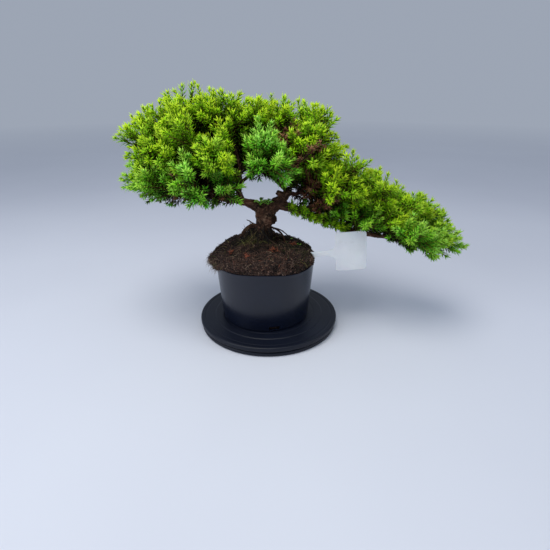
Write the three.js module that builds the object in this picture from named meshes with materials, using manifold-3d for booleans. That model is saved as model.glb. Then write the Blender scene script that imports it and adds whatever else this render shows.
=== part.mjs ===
// A garden juniper trained as a bonsai, in its nursery pot, on a small two-plate turntable.
// Millimetres, +Z up. The origin is the centre of the turntable's underside, on its turning axis.
import * as THREE from "three";
import { mergeVertices } from "three/addons/utils/BufferGeometryUtils.js";
import Module from "manifold-3d";

const wasm = await Module();
wasm.setup();

// Driving dimensions of the turntable: two plates, with a bearing ring and a centre pin between them
const turntable = {
  radius: 108.9,
  height: 15.0,
  platformRadius: 86,
  platformRise: 0.8,
  edge: 1.5,
  sides: 32,
};
const basePlate = { radius: 107.3, thickness: 6, edge: 1.2 };
const plateGap = 1.5;
const pin = { radius: 5.7, bottom: 2.6, top: 11.7, sides: 12 };
const race = { inner: 60, outer: 80, roof: 11, ringInset: 3, sides: 16 };
const runningGap = 0.3;

// Driving dimensions of the pot and the ball of soil. Each list goes round in steps of 45 degrees,
// starting at the right-hand side (+X) and passing the back (+Y), the left and the front (-Y).
const touchingGap = 0.3;
const potCentreX = -4.9;
const pot = {
  footRadius: 67.7,
  footEdge: 2,
  rimRadius: 75,
  nominalRim: 107,
  wall: 2,
  floor: 2.4,
  rimHeights: [107.3, 106, 103, 96, 92.7, 107, 110.8, 106.5],
  sides: 28,
};
const drain = { count: 4, width: 16, bottom: 18.8, top: 24.6, depth: 12, firstAngle: -78 };
const soil = {
  wallGap: 0.9,
  footInset: 3,
  aboveRim: 0.8,
  edgeHeights: [121, 121, 124, 124, 112, 127, 131, 130],
  edgeRadii: [74, 74, 75, 80, 86, 76, 73, 72],
  bulge: { rise: 0.55, inset: 1 },
  shoulder: { drop: 0.5, inset: 5 },
  slopes: [{ out: 0.76, rise: 0.3 }, { out: 0.42, rise: 0.7 }],
  middle: 138,
  roughness: 1.6,
  seed: 7,
  sides: 28,
};

// The plant label: a T of thin plastic lying on its side, its pointed stem pushed into the soil
const label = {
  thickness: 0.9,
  tilt: 5,
  place: [73, -25, 123],
  stem: { left: -34, pointed: -24, pointShare: 0.55, width: 8.5, shoulder: 10 },
  head: { left: 25.8, right: 71, bottom: -29.5, top: 30.5, corner: 4.5, flare: 13 },
  curveSegments: 2,
};

// The foliage. A shoot is a slim three-sided core whose facets are drawn out into needles. A side shoot is
// given as the whorl and facet it grows from and its own number of whorls.
const foliage = {
  seed: 30,
  needle: 7.2,
  needleLean: 48,
  tipLean: 22,
  needleFoot: 0.3,
  needleClearance: 0.75,
  coreRadius: 1.1,
  coreTaper: 0.35,
  coreClearance: 0.35,
  whorlStep: 6,
  stemLength: 9.2,
  mainWhorls: 5,
  sideShoots: [[0, 0, 4], [1, 1, 4], [2, 2, 3], [3, 0, 2]],
  sideAngle: 44,
  sideStem: 2.6,
  sideRise: 0.35,
  sideDepth: 0.6,
  budLength: 4.2,
  rootGap: 0.35,
  rootRadius: 0.9,
};

// How sprays are set out: what each keeps clear of, and the parts that the limb's own direction, a turn
// to one side, the way out of the crown and chance play in where a spray points
const setting = {
  reach: 6,
  clearance: 0.4,
  candidates: 140,
  rise: 44,
  mostRoom: 60,
  middle: 0.6,
  lastShare: 0.97,
  spacing: 0.9,
  slip: 0.16,
  atEnd: { forward: 1, side: 0.25 },
  alongside: { forward: 0.3, side: 0.9 },
  outward: 0.3,
  chance: 0.5,
  leastAhead: 0.75,
  leastAway: 0.6,
};

// The outline that the crown is clipped to: x and z of its top and of its underside, in the middle of its
// depth. Both close in by some millimetres for each millimetre forward or back. A spray may stand out over
// it by "mostOver", and loses "weight" for each millimetre.
const outline = {
  left: -214,
  right: 294,
  top: [
    [-214, 225], [-205, 262], [-185, 298], [-160, 314], [-137, 322], [-125, 338], [-104, 349],
    [-72, 343], [-40, 335], [0, 333], [30, 330], [60, 320], [85, 308], [95, 280], [130, 262],
    [155, 240], [185, 217], [212, 213], [240, 196], [262, 165], [296, 122],
  ],
  under: [
    [-214, 207], [-190, 204], [-172, 195], [-150, 184], [-125, 190], [-107, 195], [-94, 182],
    [-76, 182], [-60, 192], [-36, 198], [-30, 222], [-4, 229], [16, 214], [34, 190], [53, 181],
    [74, 175], [110, 161], [148, 150], [181, 141], [191, 120], [213, 120], [226, 112], [256, 112],
    [275, 118], [296, 120],
  ],
  topFall: { front: 0.25, back: 0.46 },
  underRise: { front: 0.4, back: 0.2 },
  mostOver: 16,
  weight: 0.8,
};

const up = new THREE.Vector3(0, 0, 1);
const vec = (x, y, z) => new THREE.Vector3(x, y, z);
const crownCentre = vec(0, 0, 200);

const trunkSides = 10;
const limbSides = 7;
const twigSides = 4;
const limbRadius = 4.5;
const holeGap = touchingGap + 0.1;
const holeDepth = 0.6;

// The trunk, foot first: x, y, z, radius
const trunkLine = [
  [-4, 0, 106, 8],
  [-5, 0, 126, 12],
  [-6, 0, 137, 10],
  [-7, 0, 149, 9.5],
  [-7, 0, 159, 11],
  [-5, 0, 168, 13.5],
  [-3, 0, 178, 14.5],
  [-1, 0, 187, 12.5],
  [0, 0, 194, 8],
];
const footRings = 4;

// Surface roots, each from inside the trunk's foot down into the soil: x, y, z, radius
const rootLines = [
  [[-8, 0, 154, 3.4], [-24, 1, 157, 2.2], [-34, 2, 151, 2], [-40, 4, 138, 1.9], [-47, 6, 118, 1.8]],
  [[-2, 0, 155, 3.6], [7, 1, 149, 2.4], [13, 2, 140, 2.2], [15, 3, 130, 2.1], [17, 4, 116, 2]],
  [[-2, 3, 140, 4], [12, 8, 137, 3], [28, 12, 133, 2.6], [44, 16, 112, 2.2]],
  [[-5, -3, 138, 4.6], [-8, -16, 134, 3.6], [-12, -30, 130, 3], [-18, -44, 118, 2.4]],
  [[-6, 4, 140, 4.6], [-10, 18, 134, 3.4], [-16, 34, 122, 2.8], [-20, 44, 110, 2.2]],
  [[-6, 0, 138, 4.6], [-22, -5, 133, 3.4], [-36, -12, 126, 2.6], [-48, -20, 108, 2]],
  [[-3, -2, 139, 4.4], [9, -11, 134, 3.4], [22, -24, 131, 2.8], [34, -36, 116, 2.2]],
];

// Stubs of cut branches: x, y, z, radius
const stubLines = [
  [[0, -3, 172, 8], [9, -12, 171, 6.5]],
  [[-8, -4, 176, 6], [-13, -12, 178, 4.6]],
  [[20, -2, 205, 4.6], [13, -4, 210, 3.4]],
];

// Limbs and branches. Each starts inside the wood that carries it. The points give x, y, z and radius.
// The sprays sit along it from the share "from" to its end; lift is how much they turn up.
const limbs = [
  {
    name: "left_limb", sprays: 3, from: 0.4, lift: 0.12,
    line: [[-4, 0, 182, 9], [-22, -1, 191, 6.6], [-40, -3, 196.5, 5], [-72, -7, 203, 4.2],
      [-107, -5, 209, 3.4], [-139, 2, 206, 2.6], [-156, 7, 207, 1.9]],
  },
  {
    name: "riser", sprays: 3, from: 0.6, lift: 0.35,
    line: [[-37, -3, 196, 4], [-41, -1, 214, 3.4], [-39, 0, 240, 3], [-45, -1, 273, 2.5],
      [-49, -5, 290, 2]],
  },
  {
    name: "crown_left", sprays: 3, from: 0.25, lift: 0.5,
    line: [[-43, -1, 264, 2.8], [-61, 5, 280, 2.5], [-80, 9, 292, 2.2], [-99, 12, 300, 1.8]],
  },
  {
    name: "left_rise", sprays: 4, from: 0.2, lift: 0.4,
    line: [[-71, -7, 203, 3.6], [-80, -9, 220, 3.2], [-96, -11, 235, 2.8], [-124, -16, 248, 2.4],
      [-144, -21, 256, 2.1], [-152, -20, 260, 1.8]],
  },
  {
    name: "far_left", sprays: 2, from: 0.5, lift: 0.35,
    line: [[-122, -16, 247, 2.4], [-132, -4, 261, 2.1], [-143, 10, 274, 1.8]],
  },
  {
    name: "low_front", sprays: 2, from: 0.3, lift: 0.15,
    line: [[-68, -6, 202, 3.2], [-72, -24, 212, 2.6], [-80, -42, 219, 2.2], [-88, -54, 223, 1.8]],
  },
  {
    name: "low_left", sprays: 2, from: 0.4, lift: 0.12,
    line: [[-105, -5, 209, 2.8], [-118, -22, 213, 2.2], [-129, -34, 217, 1.8]],
  },
  {
    name: "centre_front", sprays: 2, from: 0.5, lift: 0.45,
    line: [[-39.5, -1, 232, 2.8], [-54, -20, 246, 2.4], [-72, -38, 258, 2.1], [-88, -50, 266, 1.8]],
  },
  {
    name: "centre_pad", sprays: 2, from: 0.55, lift: 0.35,
    line: [[-40, -1, 222, 2.8], [-28, -8, 232, 2.3], [-20, -20, 242, 2], [-12, -34, 250, 1.8]],
  },
  {
    name: "right_limb", sprays: 0, from: 1, lift: 0,
    line: [[-2, 0, 180, 9.5], [13, -1, 193, 8.4], [23, -1, 202, 6.6], [30, 0, 213, 4.8]],
  },
  {
    name: "centre_riser", sprays: 2, from: 0.45, lift: 0.45,
    line: [[29, 0, 210, 3.8], [18, 1, 220, 3.4], [7, 2, 230, 3.1], [-4, 3, 240, 2.8],
      [-12, 9, 259, 2.4], [-8, 17, 276, 2.1], [4, 24, 287, 1.8]],
  },
  {
    name: "centre_back", sprays: 3, from: 0.35, lift: 0.4,
    line: [[-4, 3, 240, 2.6], [0, 24, 250, 2.3], [4, 46, 260, 2], [6, 62, 268, 1.8]],
  },
  {
    name: "right_crown", sprays: 3, from: 0.3, lift: 0.5,
    line: [[-2, 3, 238, 2.9], [20, -6, 246, 2.6], [42, -14, 260, 2.2], [57, -20, 275, 1.8]],
  },
  {
    name: "inner_right", sprays: 1, from: 1, lift: 0.3,
    line: [[28, 0, 208, 3.4], [43, 2, 206, 2.8], [54, 6, 217, 2.3], [63, 12, 236, 1.8]],
  },
  {
    name: "cascade", sprays: 4, from: 0.2, lift: 0.25,
    line: [[12, -1, 193, 7.4], [33, -3, 187, 6], [56, -5, 179, 4.8], [80, -5, 170, 4.3],
      [111, -6, 157, 3.8], [139, -8, 150, 3.3], [177, -8, 143, 2.7], [215, -6, 138, 2.2],
      [240, -4, 131, 1.8]],
  },
  {
    name: "right_middle", sprays: 3, from: 0.25, lift: 0.5,
    line: [[50, -4, 181, 3.6], [64, -12, 193, 3], [82, -22, 206, 2.5], [98, -30, 220, 1.8]],
  },
  {
    name: "cascade_first", sprays: 2, from: 0.3, lift: 0.45,
    line: [[109, -6, 158, 3.2], [124, 0, 170, 2.6], [142, 9, 180, 1.8]],
  },
  {
    name: "cascade_second", sprays: 2, from: 0.4, lift: 0.4,
    line: [[139, -8, 150, 2.8], [158, -12, 164, 2.4], [178, -18, 176, 1.8]],
  },
  {
    name: "cascade_third", sprays: 2, from: 0.4, lift: 0.3,
    line: [[176, -8, 143, 2.5], [196, 4, 150, 2.1], [212, 13, 154, 1.8]],
  },
  {
    name: "cascade_front", sprays: 1, from: 0.3, lift: 0,
    line: [[172, -8, 144, 2.5], [184, -24, 149, 2.1], [194, -36, 152, 1.8]],
  },
  {
    name: "cascade_back", sprays: 2, from: 0.45, lift: 0.35,
    line: [[80, -5, 170, 3], [96, 16, 180, 2.5], [110, 38, 188, 2.1], [120, 54, 193, 1.8]],
  },
  {
    name: "crown_back", sprays: 1, from: 0.5, lift: 0.45,
    line: [[-44, 0, 266, 2.6], [-48, 24, 270, 2.2], [-52, 46, 272, 1.8]],
  },
  {
    name: "left_back", sprays: 3, from: 0.3, lift: 0.35,
    line: [[-76, -7, 203, 3.2], [-86, 16, 212, 2.7], [-98, 38, 222, 2.2], [-108, 54, 230, 1.8]],
  },
];

// The first spray of these limbs has dried up and turned brown
const limbsWithDrySpray = ["right_crown", "right_middle", "inner_right", "left_rise"];

// Solids

function solidOf(geometry) {
  const bare = geometry.clone();
  bare.deleteAttribute("normal");
  bare.deleteAttribute("uv");
  const merged = mergeVertices(bare, 1e-4);
  const mesh = new wasm.Mesh({
    numProp: 3,
    vertProperties: new Float32Array(merged.attributes.position.array),
    triVerts: new Uint32Array(merged.index.array),
  });
  return new wasm.Manifold(mesh);
}

function geometryOf(solid) {
  const mesh = solid.getMesh();
  const geometry = new THREE.BufferGeometry();
  geometry.setAttribute("position", new THREE.BufferAttribute(new Float32Array(mesh.vertProperties), 3));
  geometry.setIndex(new THREE.BufferAttribute(new Uint32Array(mesh.triVerts), 1));
  geometry.computeVertexNormals();
  return geometry;
}

function indexedGeometry(points, faces) {
  const numbers = points.flatMap((p) => [p.x, p.y, p.z]);
  const geometry = new THREE.BufferGeometry();
  geometry.setAttribute("position", new THREE.Float32BufferAttribute(numbers, 3));
  geometry.setIndex(faces.flat());
  geometry.computeVertexNormals();
  return geometry;
}

// A closed surface of rings of points, each with the same number, from a first point to a last one.
// Seen from the side that the rings advance to, each ring runs counter-clockwise.
function ringedGeometry(first, rings, last) {
  const sides = rings[0].length;
  const points = [first, ...rings.flat(), last];
  const at = (ring, side) => 1 + ring * sides + (side % sides);
  const faces = [];
  for (let side = 0; side < sides; side++) {
    faces.push([0, at(0, side + 1), at(0, side)]);
    faces.push([points.length - 1, at(rings.length - 1, side), at(rings.length - 1, side + 1)]);
    for (let ring = 0; ring + 1 < rings.length; ring++) {
      faces.push([at(ring, side), at(ring, side + 1), at(ring + 1, side + 1)]);
      faces.push([at(ring, side), at(ring + 1, side + 1), at(ring + 1, side)]);
    }
  }
  return indexedGeometry(points, faces);
}

// A tapering tube through a line of [x, y, z, radius]
function taperedTube(line, sides, growth = 0) {
  const centres = line.map(([x, y, z]) => vec(x, y, z));
  const side = vec(0, 1, 0);
  const rings = line.map(([, , , radius], i) => {
    const before = centres[Math.max(i - 1, 0)];
    const after = centres[Math.min(i + 1, centres.length - 1)];
    const forward = after.clone().sub(before).normalize();
    side.addScaledVector(forward, -side.dot(forward)).normalize();
    const other = forward.clone().cross(side);
    return Array.from({ length: sides }, (_, k) => {
      const angle = (k / sides) * 2 * Math.PI;
      return centres[i].clone()
        .addScaledVector(side, (radius + growth) * Math.cos(angle))
        .addScaledVector(other, (radius + growth) * Math.sin(angle));
    });
  });
  return ringedGeometry(centres[0], rings, centres[centres.length - 1]);
}

// A solid turned round the Z axis from a profile of [radius, z]
function latheSolid(profile, sides) {
  const geometry = new THREE.LatheGeometry(profile.map(([r, z]) => new THREE.Vector2(r, z)), sides);
  geometry.rotateX(Math.PI / 2);
  return solidOf(geometry);
}

// A smooth value at any angle between values given at even steps round the compass
function around(values, angle) {
  const place = ((angle / (2 * Math.PI)) * values.length + values.length) % values.length;
  const low = Math.floor(place);
  const share = (1 - Math.cos((place - low) * Math.PI)) / 2;
  return values[low % values.length] * (1 - share) + values[(low + 1) % values.length] * share;
}

// Random draws between 0 and 1, the same in every run
function seededDraws(seed) {
  let state = seed >>> 0;
  return () => {
    state = (Math.imul(state, 1664525) + 1013904223) >>> 0;
    return state / 4294967296;
  };
}

// Turntable

function makeTurntableBase() {
  const { radius, thickness, edge } = basePlate;
  const hole = pin.radius + runningGap;
  return latheSolid([
    [0, 0], [radius - edge, 0], [radius, edge], [radius, thickness - edge], [radius - edge, thickness],
    [hole, thickness], [hole, pin.bottom - runningGap], [0, pin.bottom - runningGap],
  ], turntable.sides);
}

function makeTurntableTop() {
  const { radius, height, platformRadius, platformRise, edge } = turntable;
  const under = basePlate.thickness + plateGap;
  const hole = pin.radius + runningGap;
  return latheSolid([
    [0, pin.top + runningGap], [hole, pin.top + runningGap], [hole, under], [race.inner, under],
    [race.inner, race.roof], [race.outer, race.roof], [race.outer, under], [radius - edge, under],
    [radius, under + edge], [radius, height - edge], [radius - edge, height], [platformRadius, height],
    [platformRadius - platformRise, height + platformRise], [0, height + platformRise],
  ], turntable.sides);
}

function makeBearingRing() {
  const inner = race.inner + race.ringInset;
  const outer = race.outer - race.ringInset;
  const low = basePlate.thickness + runningGap;
  const high = race.roof - runningGap;
  return latheSolid([[inner, low], [outer, low], [outer, high], [inner, high], [inner, low]], race.sides);
}

function makeCentrePin() {
  const { radius, bottom, top, sides } = pin;
  return latheSolid([[0, bottom], [radius, bottom], [radius, top], [0, top]], sides);
}

// Pot and soil, both made round their own axis and moved to the pot's place

const potBottom = turntable.height + turntable.platformRise + touchingGap;

function potRadius(z) {
  const share = (z - potBottom) / (pot.nominalRim - potBottom);
  return pot.footRadius + (pot.rimRadius - pot.footRadius) * share;
}

function circleOf(sides, radiusAt, heightAt) {
  return Array.from({ length: sides }, (_, k) => {
    const angle = (k / sides) * 2 * Math.PI;
    const radius = radiusAt(angle);
    return vec(radius * Math.cos(angle), radius * Math.sin(angle), heightAt(angle));
  });
}

function makePot() {
  const rimAt = (angle) => around(pot.rimHeights, angle);
  const ring = (radiusAt, heightAt) => circleOf(pot.sides, radiusAt, heightAt);
  const shell = ringedGeometry(vec(0, 0, potBottom), [
    ring(() => pot.footRadius - pot.footEdge, () => potBottom),
    ring(() => potRadius(potBottom + pot.footEdge), () => potBottom + pot.footEdge),
    ring((a) => potRadius(rimAt(a)), rimAt),
    ring((a) => potRadius(rimAt(a)) - pot.wall, rimAt),
    ring(() => pot.footRadius - pot.footEdge - pot.wall, () => potBottom + pot.floor),
  ], vec(0, 0, potBottom + pot.floor));
  let solid = solidOf(shell);
  for (let i = 0; i < drain.count; i++) {
    const angle = THREE.MathUtils.degToRad(drain.firstAngle + (360 / drain.count) * i);
    const box = new THREE.BoxGeometry(drain.depth, drain.width, drain.top - drain.bottom);
    box.translate(pot.footRadius, 0, (drain.top + drain.bottom) / 2);
    box.rotateZ(angle);
    solid = solid.subtract(solidOf(box));
  }
  return solid.translate([potCentreX, 0, 0]);
}

// The ball fills the pot, bulges out above the rim and slopes up to the middle
function makeRootBall(holes) {
  const { bulge, shoulder, slopes, middle, sides } = soil;
  const draw = seededDraws(soil.seed);
  const rough = () => (draw() - 0.5) * 2 * soil.roughness;
  const edgeZ = (a) => around(soil.edgeHeights, a);
  const edgeR = (a) => around(soil.edgeRadii, a);
  const rimZ = (a) => around(pot.rimHeights, a);
  const bulgeZ = (a) => rimZ(a) + (edgeZ(a) - rimZ(a)) * bulge.rise;
  const inset = pot.wall + soil.wallGap;
  const bottom = potBottom + pot.floor + touchingGap;
  const ring = (radiusAt, heightAt) => circleOf(sides, radiusAt, heightAt);
  const roughRing = (radiusAt, heightAt) => ring((a) => radiusAt(a) + rough(), (a) => heightAt(a) + rough());
  const rings = [
    ring(() => pot.footRadius - inset - soil.footInset, () => bottom),
    ring((a) => potRadius(rimZ(a)) - inset, (a) => rimZ(a) + soil.aboveRim),
    roughRing((a) => edgeR(a) - bulge.inset, bulgeZ),
    roughRing((a) => edgeR(a) - shoulder.inset, (a) => edgeZ(a) - shoulder.drop),
    ...slopes.map(({ out, rise }) =>
      roughRing((a) => edgeR(a) * out, (a) => edgeZ(a) + (middle - edgeZ(a)) * rise)),
  ];
  const ball = ringedGeometry(vec(0, 0, bottom), rings, vec(0, 0, middle));
  let solid = solidOf(ball).translate([potCentreX, 0, 0]);
  for (const hole of holes) {
    solid = solid.subtract(hole);
  }
  return solid;
}

// Plant label: the stem runs to the left into the soil, and the head is a tall rounded plate

function makeLabel(growth = 0) {
  const { stem, head, thickness, tilt, curveSegments } = label;
  const left = stem.left - growth;
  const half = stem.width / 2 + growth;
  const outline = new THREE.Shape();
  const cornerAt = (x, y, quarter) => {
    outline.absarc(x, y, head.corner, quarter * Math.PI / 2, (quarter + 1) * Math.PI / 2);
  };
  outline.moveTo(left, half * stem.pointShare);
  outline.lineTo(left, -half * stem.pointShare);
  outline.lineTo(stem.pointed, -half);
  outline.lineTo(stem.shoulder, -half);
  outline.quadraticCurveTo(head.left, -half, head.left, -head.flare);
  cornerAt(head.left + head.corner, head.bottom + head.corner, 2);
  cornerAt(head.right - head.corner, head.bottom + head.corner, 3);
  cornerAt(head.right - head.corner, head.top - head.corner, 0);
  cornerAt(head.left + head.corner, head.top - head.corner, 1);
  outline.lineTo(head.left, head.flare);
  outline.quadraticCurveTo(head.left, half, stem.shoulder, half);
  outline.lineTo(stem.pointed, half);
  outline.closePath();
  const depth = thickness + 2 * growth;
  const geometry = new THREE.ExtrudeGeometry(outline, { depth, curveSegments, bevelEnabled: false });
  geometry.translate(0, 0, -depth / 2);
  geometry.rotateX(Math.PI / 2);
  return solidOf(geometry).rotate([0, -tilt, 0]).translate(label.place);
}

// Wood: trunk, roots, stubs and limbs in one piece

function makeTrunk() {
  let wood = solidOf(taperedTube(trunkLine, trunkSides));
  for (const line of rootLines) {
    wood = wood.add(solidOf(taperedTube(line, twigSides)));
  }
  for (const line of [...stubLines, ...limbs.map((limb) => limb.line)]) {
    const sides = line[0][3] > limbRadius ? limbSides : twigSides;
    wood = wood.add(solidOf(taperedTube(line, sides)));
  }
  return wood;
}

// What the foot and the roots leave free in the soil, a little wider and deeper than they are
function rootHoles() {
  const hole = (line, sides) => {
    const [before, last] = line.slice(-2).map(([x, y, z]) => vec(x, y, z));
    const end = last.clone().add(last.clone().sub(before).normalize().multiplyScalar(holeDepth));
    const radius = line[line.length - 1][3];
    return solidOf(taperedTube([...line.slice(0, -1), [end.x, end.y, end.z, radius]], sides, holeGap));
  };
  const foot = trunkLine.slice(0, footRings).reverse();
  return [hole(foot, trunkSides), ...rootLines.map((line) => hole(line, twigSides))];
}

// Foliage

// Where a limb is at a share of its length, with the way it runs there and its radius
function placeAlong(line, share) {
  const points = line.map(([x, y, z]) => vec(x, y, z));
  const lengths = points.slice(1).map((p, i) => p.distanceTo(points[i]));
  const total = lengths.reduce((a, b) => a + b, 0);
  let left = share * total;
  let i = 0;
  while (i < lengths.length - 1 && left > lengths[i]) {
    left -= lengths[i];
    i += 1;
  }
  const part = Math.min(left / lengths[i], 1);
  return {
    point: points[i].clone().lerp(points[i + 1], part),
    forward: points[i + 1].clone().sub(points[i]).normalize(),
    radius: line[i][3] * (1 - part) + line[i + 1][3] * part,
  };
}

// Shortest distance between the stretches a-b and c-d
function stretchDistance(a, b, c, d) {
  const ab = b.clone().sub(a);
  const cd = d.clone().sub(c);
  const ca = a.clone().sub(c);
  const abab = ab.dot(ab);
  const cdcd = cd.dot(cd);
  const abcd = ab.dot(cd);
  const abca = ab.dot(ca);
  const cdca = cd.dot(ca);
  const spread = abab * cdcd - abcd * abcd;
  const limit = (value) => Math.min(Math.max(value, 0), 1);
  let s = spread > 1e-9 ? limit((abcd * cdca - cdcd * abca) / spread) : 0;
  const t = limit((abcd * s + cdca) / cdcd);
  s = limit((abcd * t - abca) / abab);
  return a.clone().addScaledVector(ab, s).distanceTo(c.clone().addScaledVector(cd, t));
}

// The shoots of one spray as straight stretches: a bare stem, its leafy end and leafy side shoots
function sprayPlan(root, direction, turn) {
  const { stemLength, whorlStep, mainWhorls, sideAngle, sideStem, budLength } = foliage;
  const flat = Math.abs(direction.z) < 0.9 ? up : vec(1, 0, 0);
  const across = flat.clone().cross(direction).normalize().applyAxisAngle(direction, turn);
  const over = direction.clone().cross(across);
  const leafStart = root.clone().addScaledVector(direction, stemLength);
  const tip = leafStart.clone().addScaledVector(direction, mainWhorls * whorlStep + budLength);
  const lean = THREE.MathUtils.degToRad(sideAngle);
  const sides = foliage.sideShoots.map(([whorl, facet, whorls]) => {
    const bearing = THREE.MathUtils.degToRad(60 + 120 * facet + 60 * (whorl % 2));
    const outward = across.clone().multiplyScalar(Math.cos(bearing)).addScaledVector(over, Math.sin(bearing));
    const heading = direction.clone().multiplyScalar(Math.cos(lean)).addScaledVector(outward, Math.sin(lean));
    const foot = leafStart.clone().addScaledVector(direction, whorlStep * (whorl + foliage.sideRise))
      .addScaledVector(outward, foliage.coreRadius * foliage.sideDepth);
    const end = foot.clone().addScaledVector(heading, sideStem + whorls * whorlStep + budLength);
    return { whorl, facet, whorls, direction: heading, foot, end };
  });
  return { root, direction, across, over, leafStart, tip, sides };
}

const woodStretches = [trunkLine, ...rootLines, ...limbs.map((limb) => limb.line)].flatMap((line) =>
  line.slice(1).map((point, i) => ({
    from: vec(...line[i].slice(0, 3)),
    to: vec(...point.slice(0, 3)),
    radius: Math.max(line[i][3], point[3]),
  })));

function leafyStretches(plan) {
  return [[plan.leafStart, plan.tip], ...plan.sides.map((side) => [side.foot, side.end])];
}

// The height of a line of [x, z] at an x
function heightAt(line, x) {
  const next = line.findIndex((point) => point[0] > x);
  if (next <= 0) {
    return (next === 0 ? line[0] : line.at(-1))[1];
  }
  const [fromX, fromZ] = line[next - 1];
  const [toX, toZ] = line[next];
  return THREE.MathUtils.mapLinear(x, fromX, toX, fromZ, toZ);
}

// How far the shoots of a spray stand out over the outline of the crown
function overOutline(plan) {
  const { left, right, topFall, underRise } = outline;
  return Math.max(0, ...leafyStretches(plan).map(([, { x, y, z }]) => {
    const half = y > 0 ? "back" : "front";
    const top = heightAt(outline.top, x) - topFall[half] * Math.abs(y);
    const under = heightAt(outline.under, x) + underRise[half] * Math.abs(y);
    return Math.max(z - top, under - z, left - x, x - right);
  }));
}

// Whether a spray keeps clear of the wood and of the sprays that are already there
function isClear(plan, others) {
  const { reach, clearance } = setting;
  const stemRadius = foliage.coreRadius;
  const leafy = leafyStretches(plan);
  for (const wood of woodStretches) {
    if (leafy.some(([a, b]) => stretchDistance(a, b, wood.from, wood.to) < wood.radius + reach + clearance)) {
      return false;
    }
  }
  for (const other of others) {
    const otherLeafy = leafyStretches(other);
    for (const [a, b] of leafy) {
      if (otherLeafy.some(([c, d]) => stretchDistance(a, b, c, d) < 2 * reach + clearance)) {
        return false;
      }
      if (stretchDistance(a, b, other.root, other.leafStart) < reach + stemRadius + clearance) {
        return false;
      }
    }
    for (const [c, d] of otherLeafy) {
      if (stretchDistance(plan.root, plan.leafStart, c, d) < reach + stemRadius + clearance) {
        return false;
      }
    }
    if (stretchDistance(plan.root, plan.leafStart, other.root, other.leafStart) < 3 * stemRadius) {
      return false;
    }
  }
  return true;
}

// One way for a spray to grow from a limb at a share of its length, turned outward and up
function candidateSpray(limb, share, atEnd, draw) {
  const slip = (draw() - 0.5) * setting.slip;
  const place = placeAlong(limb.line, atEnd ? 1 : Math.min(share + slip, setting.lastShare));
  const outward = place.point.clone().sub(crownCentre).normalize();
  const angle = draw() * 2 * Math.PI;
  const side = place.forward.clone().cross(up).normalize().applyAxisAngle(place.forward, angle);
  const chance = vec(draw() - 0.5, draw() - 0.5, draw() - 0.5);
  const turn = draw() * 2;
  const pull = atEnd ? setting.atEnd : setting.alongside;
  const direction = place.forward.clone().multiplyScalar(pull.forward)
    .addScaledVector(side, pull.side)
    .addScaledVector(up, limb.lift)
    .addScaledVector(outward, setting.outward)
    .addScaledVector(chance, setting.chance)
    .normalize();
  const ahead = direction.dot(place.forward);
  const away = Math.sqrt(1 - ahead * ahead);
  if (atEnd ? ahead < setting.leastAhead : away < setting.leastAway) {
    return null;
  }
  const { rootGap, rootRadius } = foliage;
  const offset = atEnd
    ? (rootGap + rootRadius * away) / ahead
    : (place.radius + rootGap + rootRadius * Math.abs(ahead)) / away;
  return sprayPlan(place.point.clone().addScaledVector(direction, offset), direction, turn);
}

// Sprays grow along each limb, those at the ends first. Of many ways, each takes the clear one that is
// furthest from the others, rises most and stays within the outline.
function planSprays() {
  const draw = seededDraws(foliage.seed);
  const plans = [];
  const slots = limbs.flatMap((limb) => Array.from({ length: limb.sprays }, (_, i) => {
    const atEnd = i === limb.sprays - 1;
    const share = atEnd ? 1 : limb.from + (1 - limb.from) * (i / (limb.sprays - 1)) * setting.spacing;
    return { limb, share, atEnd, dry: i === 0 && limbsWithDrySpray.includes(limb.name) };
  }));
  const inOrder = [...slots.filter((slot) => slot.atEnd), ...slots.filter((slot) => !slot.atEnd)];
  for (const slot of inOrder) {
    let best = null;
    let bestScore = -Infinity;
    for (let i = 0; i < setting.candidates; i++) {
      const plan = candidateSpray(slot.limb, slot.share, slot.atEnd, draw);
      const over = plan === null ? Infinity : overOutline(plan);
      if (over > outline.mostOver || !isClear(plan, plans)) {
        continue;
      }
      const middle = plan.leafStart.clone().lerp(plan.tip, setting.middle);
      const distances = plans.map((other) => middle.distanceTo(other.middle));
      const room = Math.min(setting.mostRoom, ...distances);
      const score = room + setting.rise * slot.limb.lift * plan.direction.z - outline.weight * over;
      if (score > bestScore) {
        best = { ...plan, middle, dry: slot.dry };
        bestScore = score;
      }
    }
    if (best) {
      plans.push(best);
    }
  }
  return plans;
}

function middleOf(points) {
  return points.reduce((sum, point) => sum.add(point), vec(0, 0, 0)).multiplyScalar(1 / points.length);
}

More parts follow.
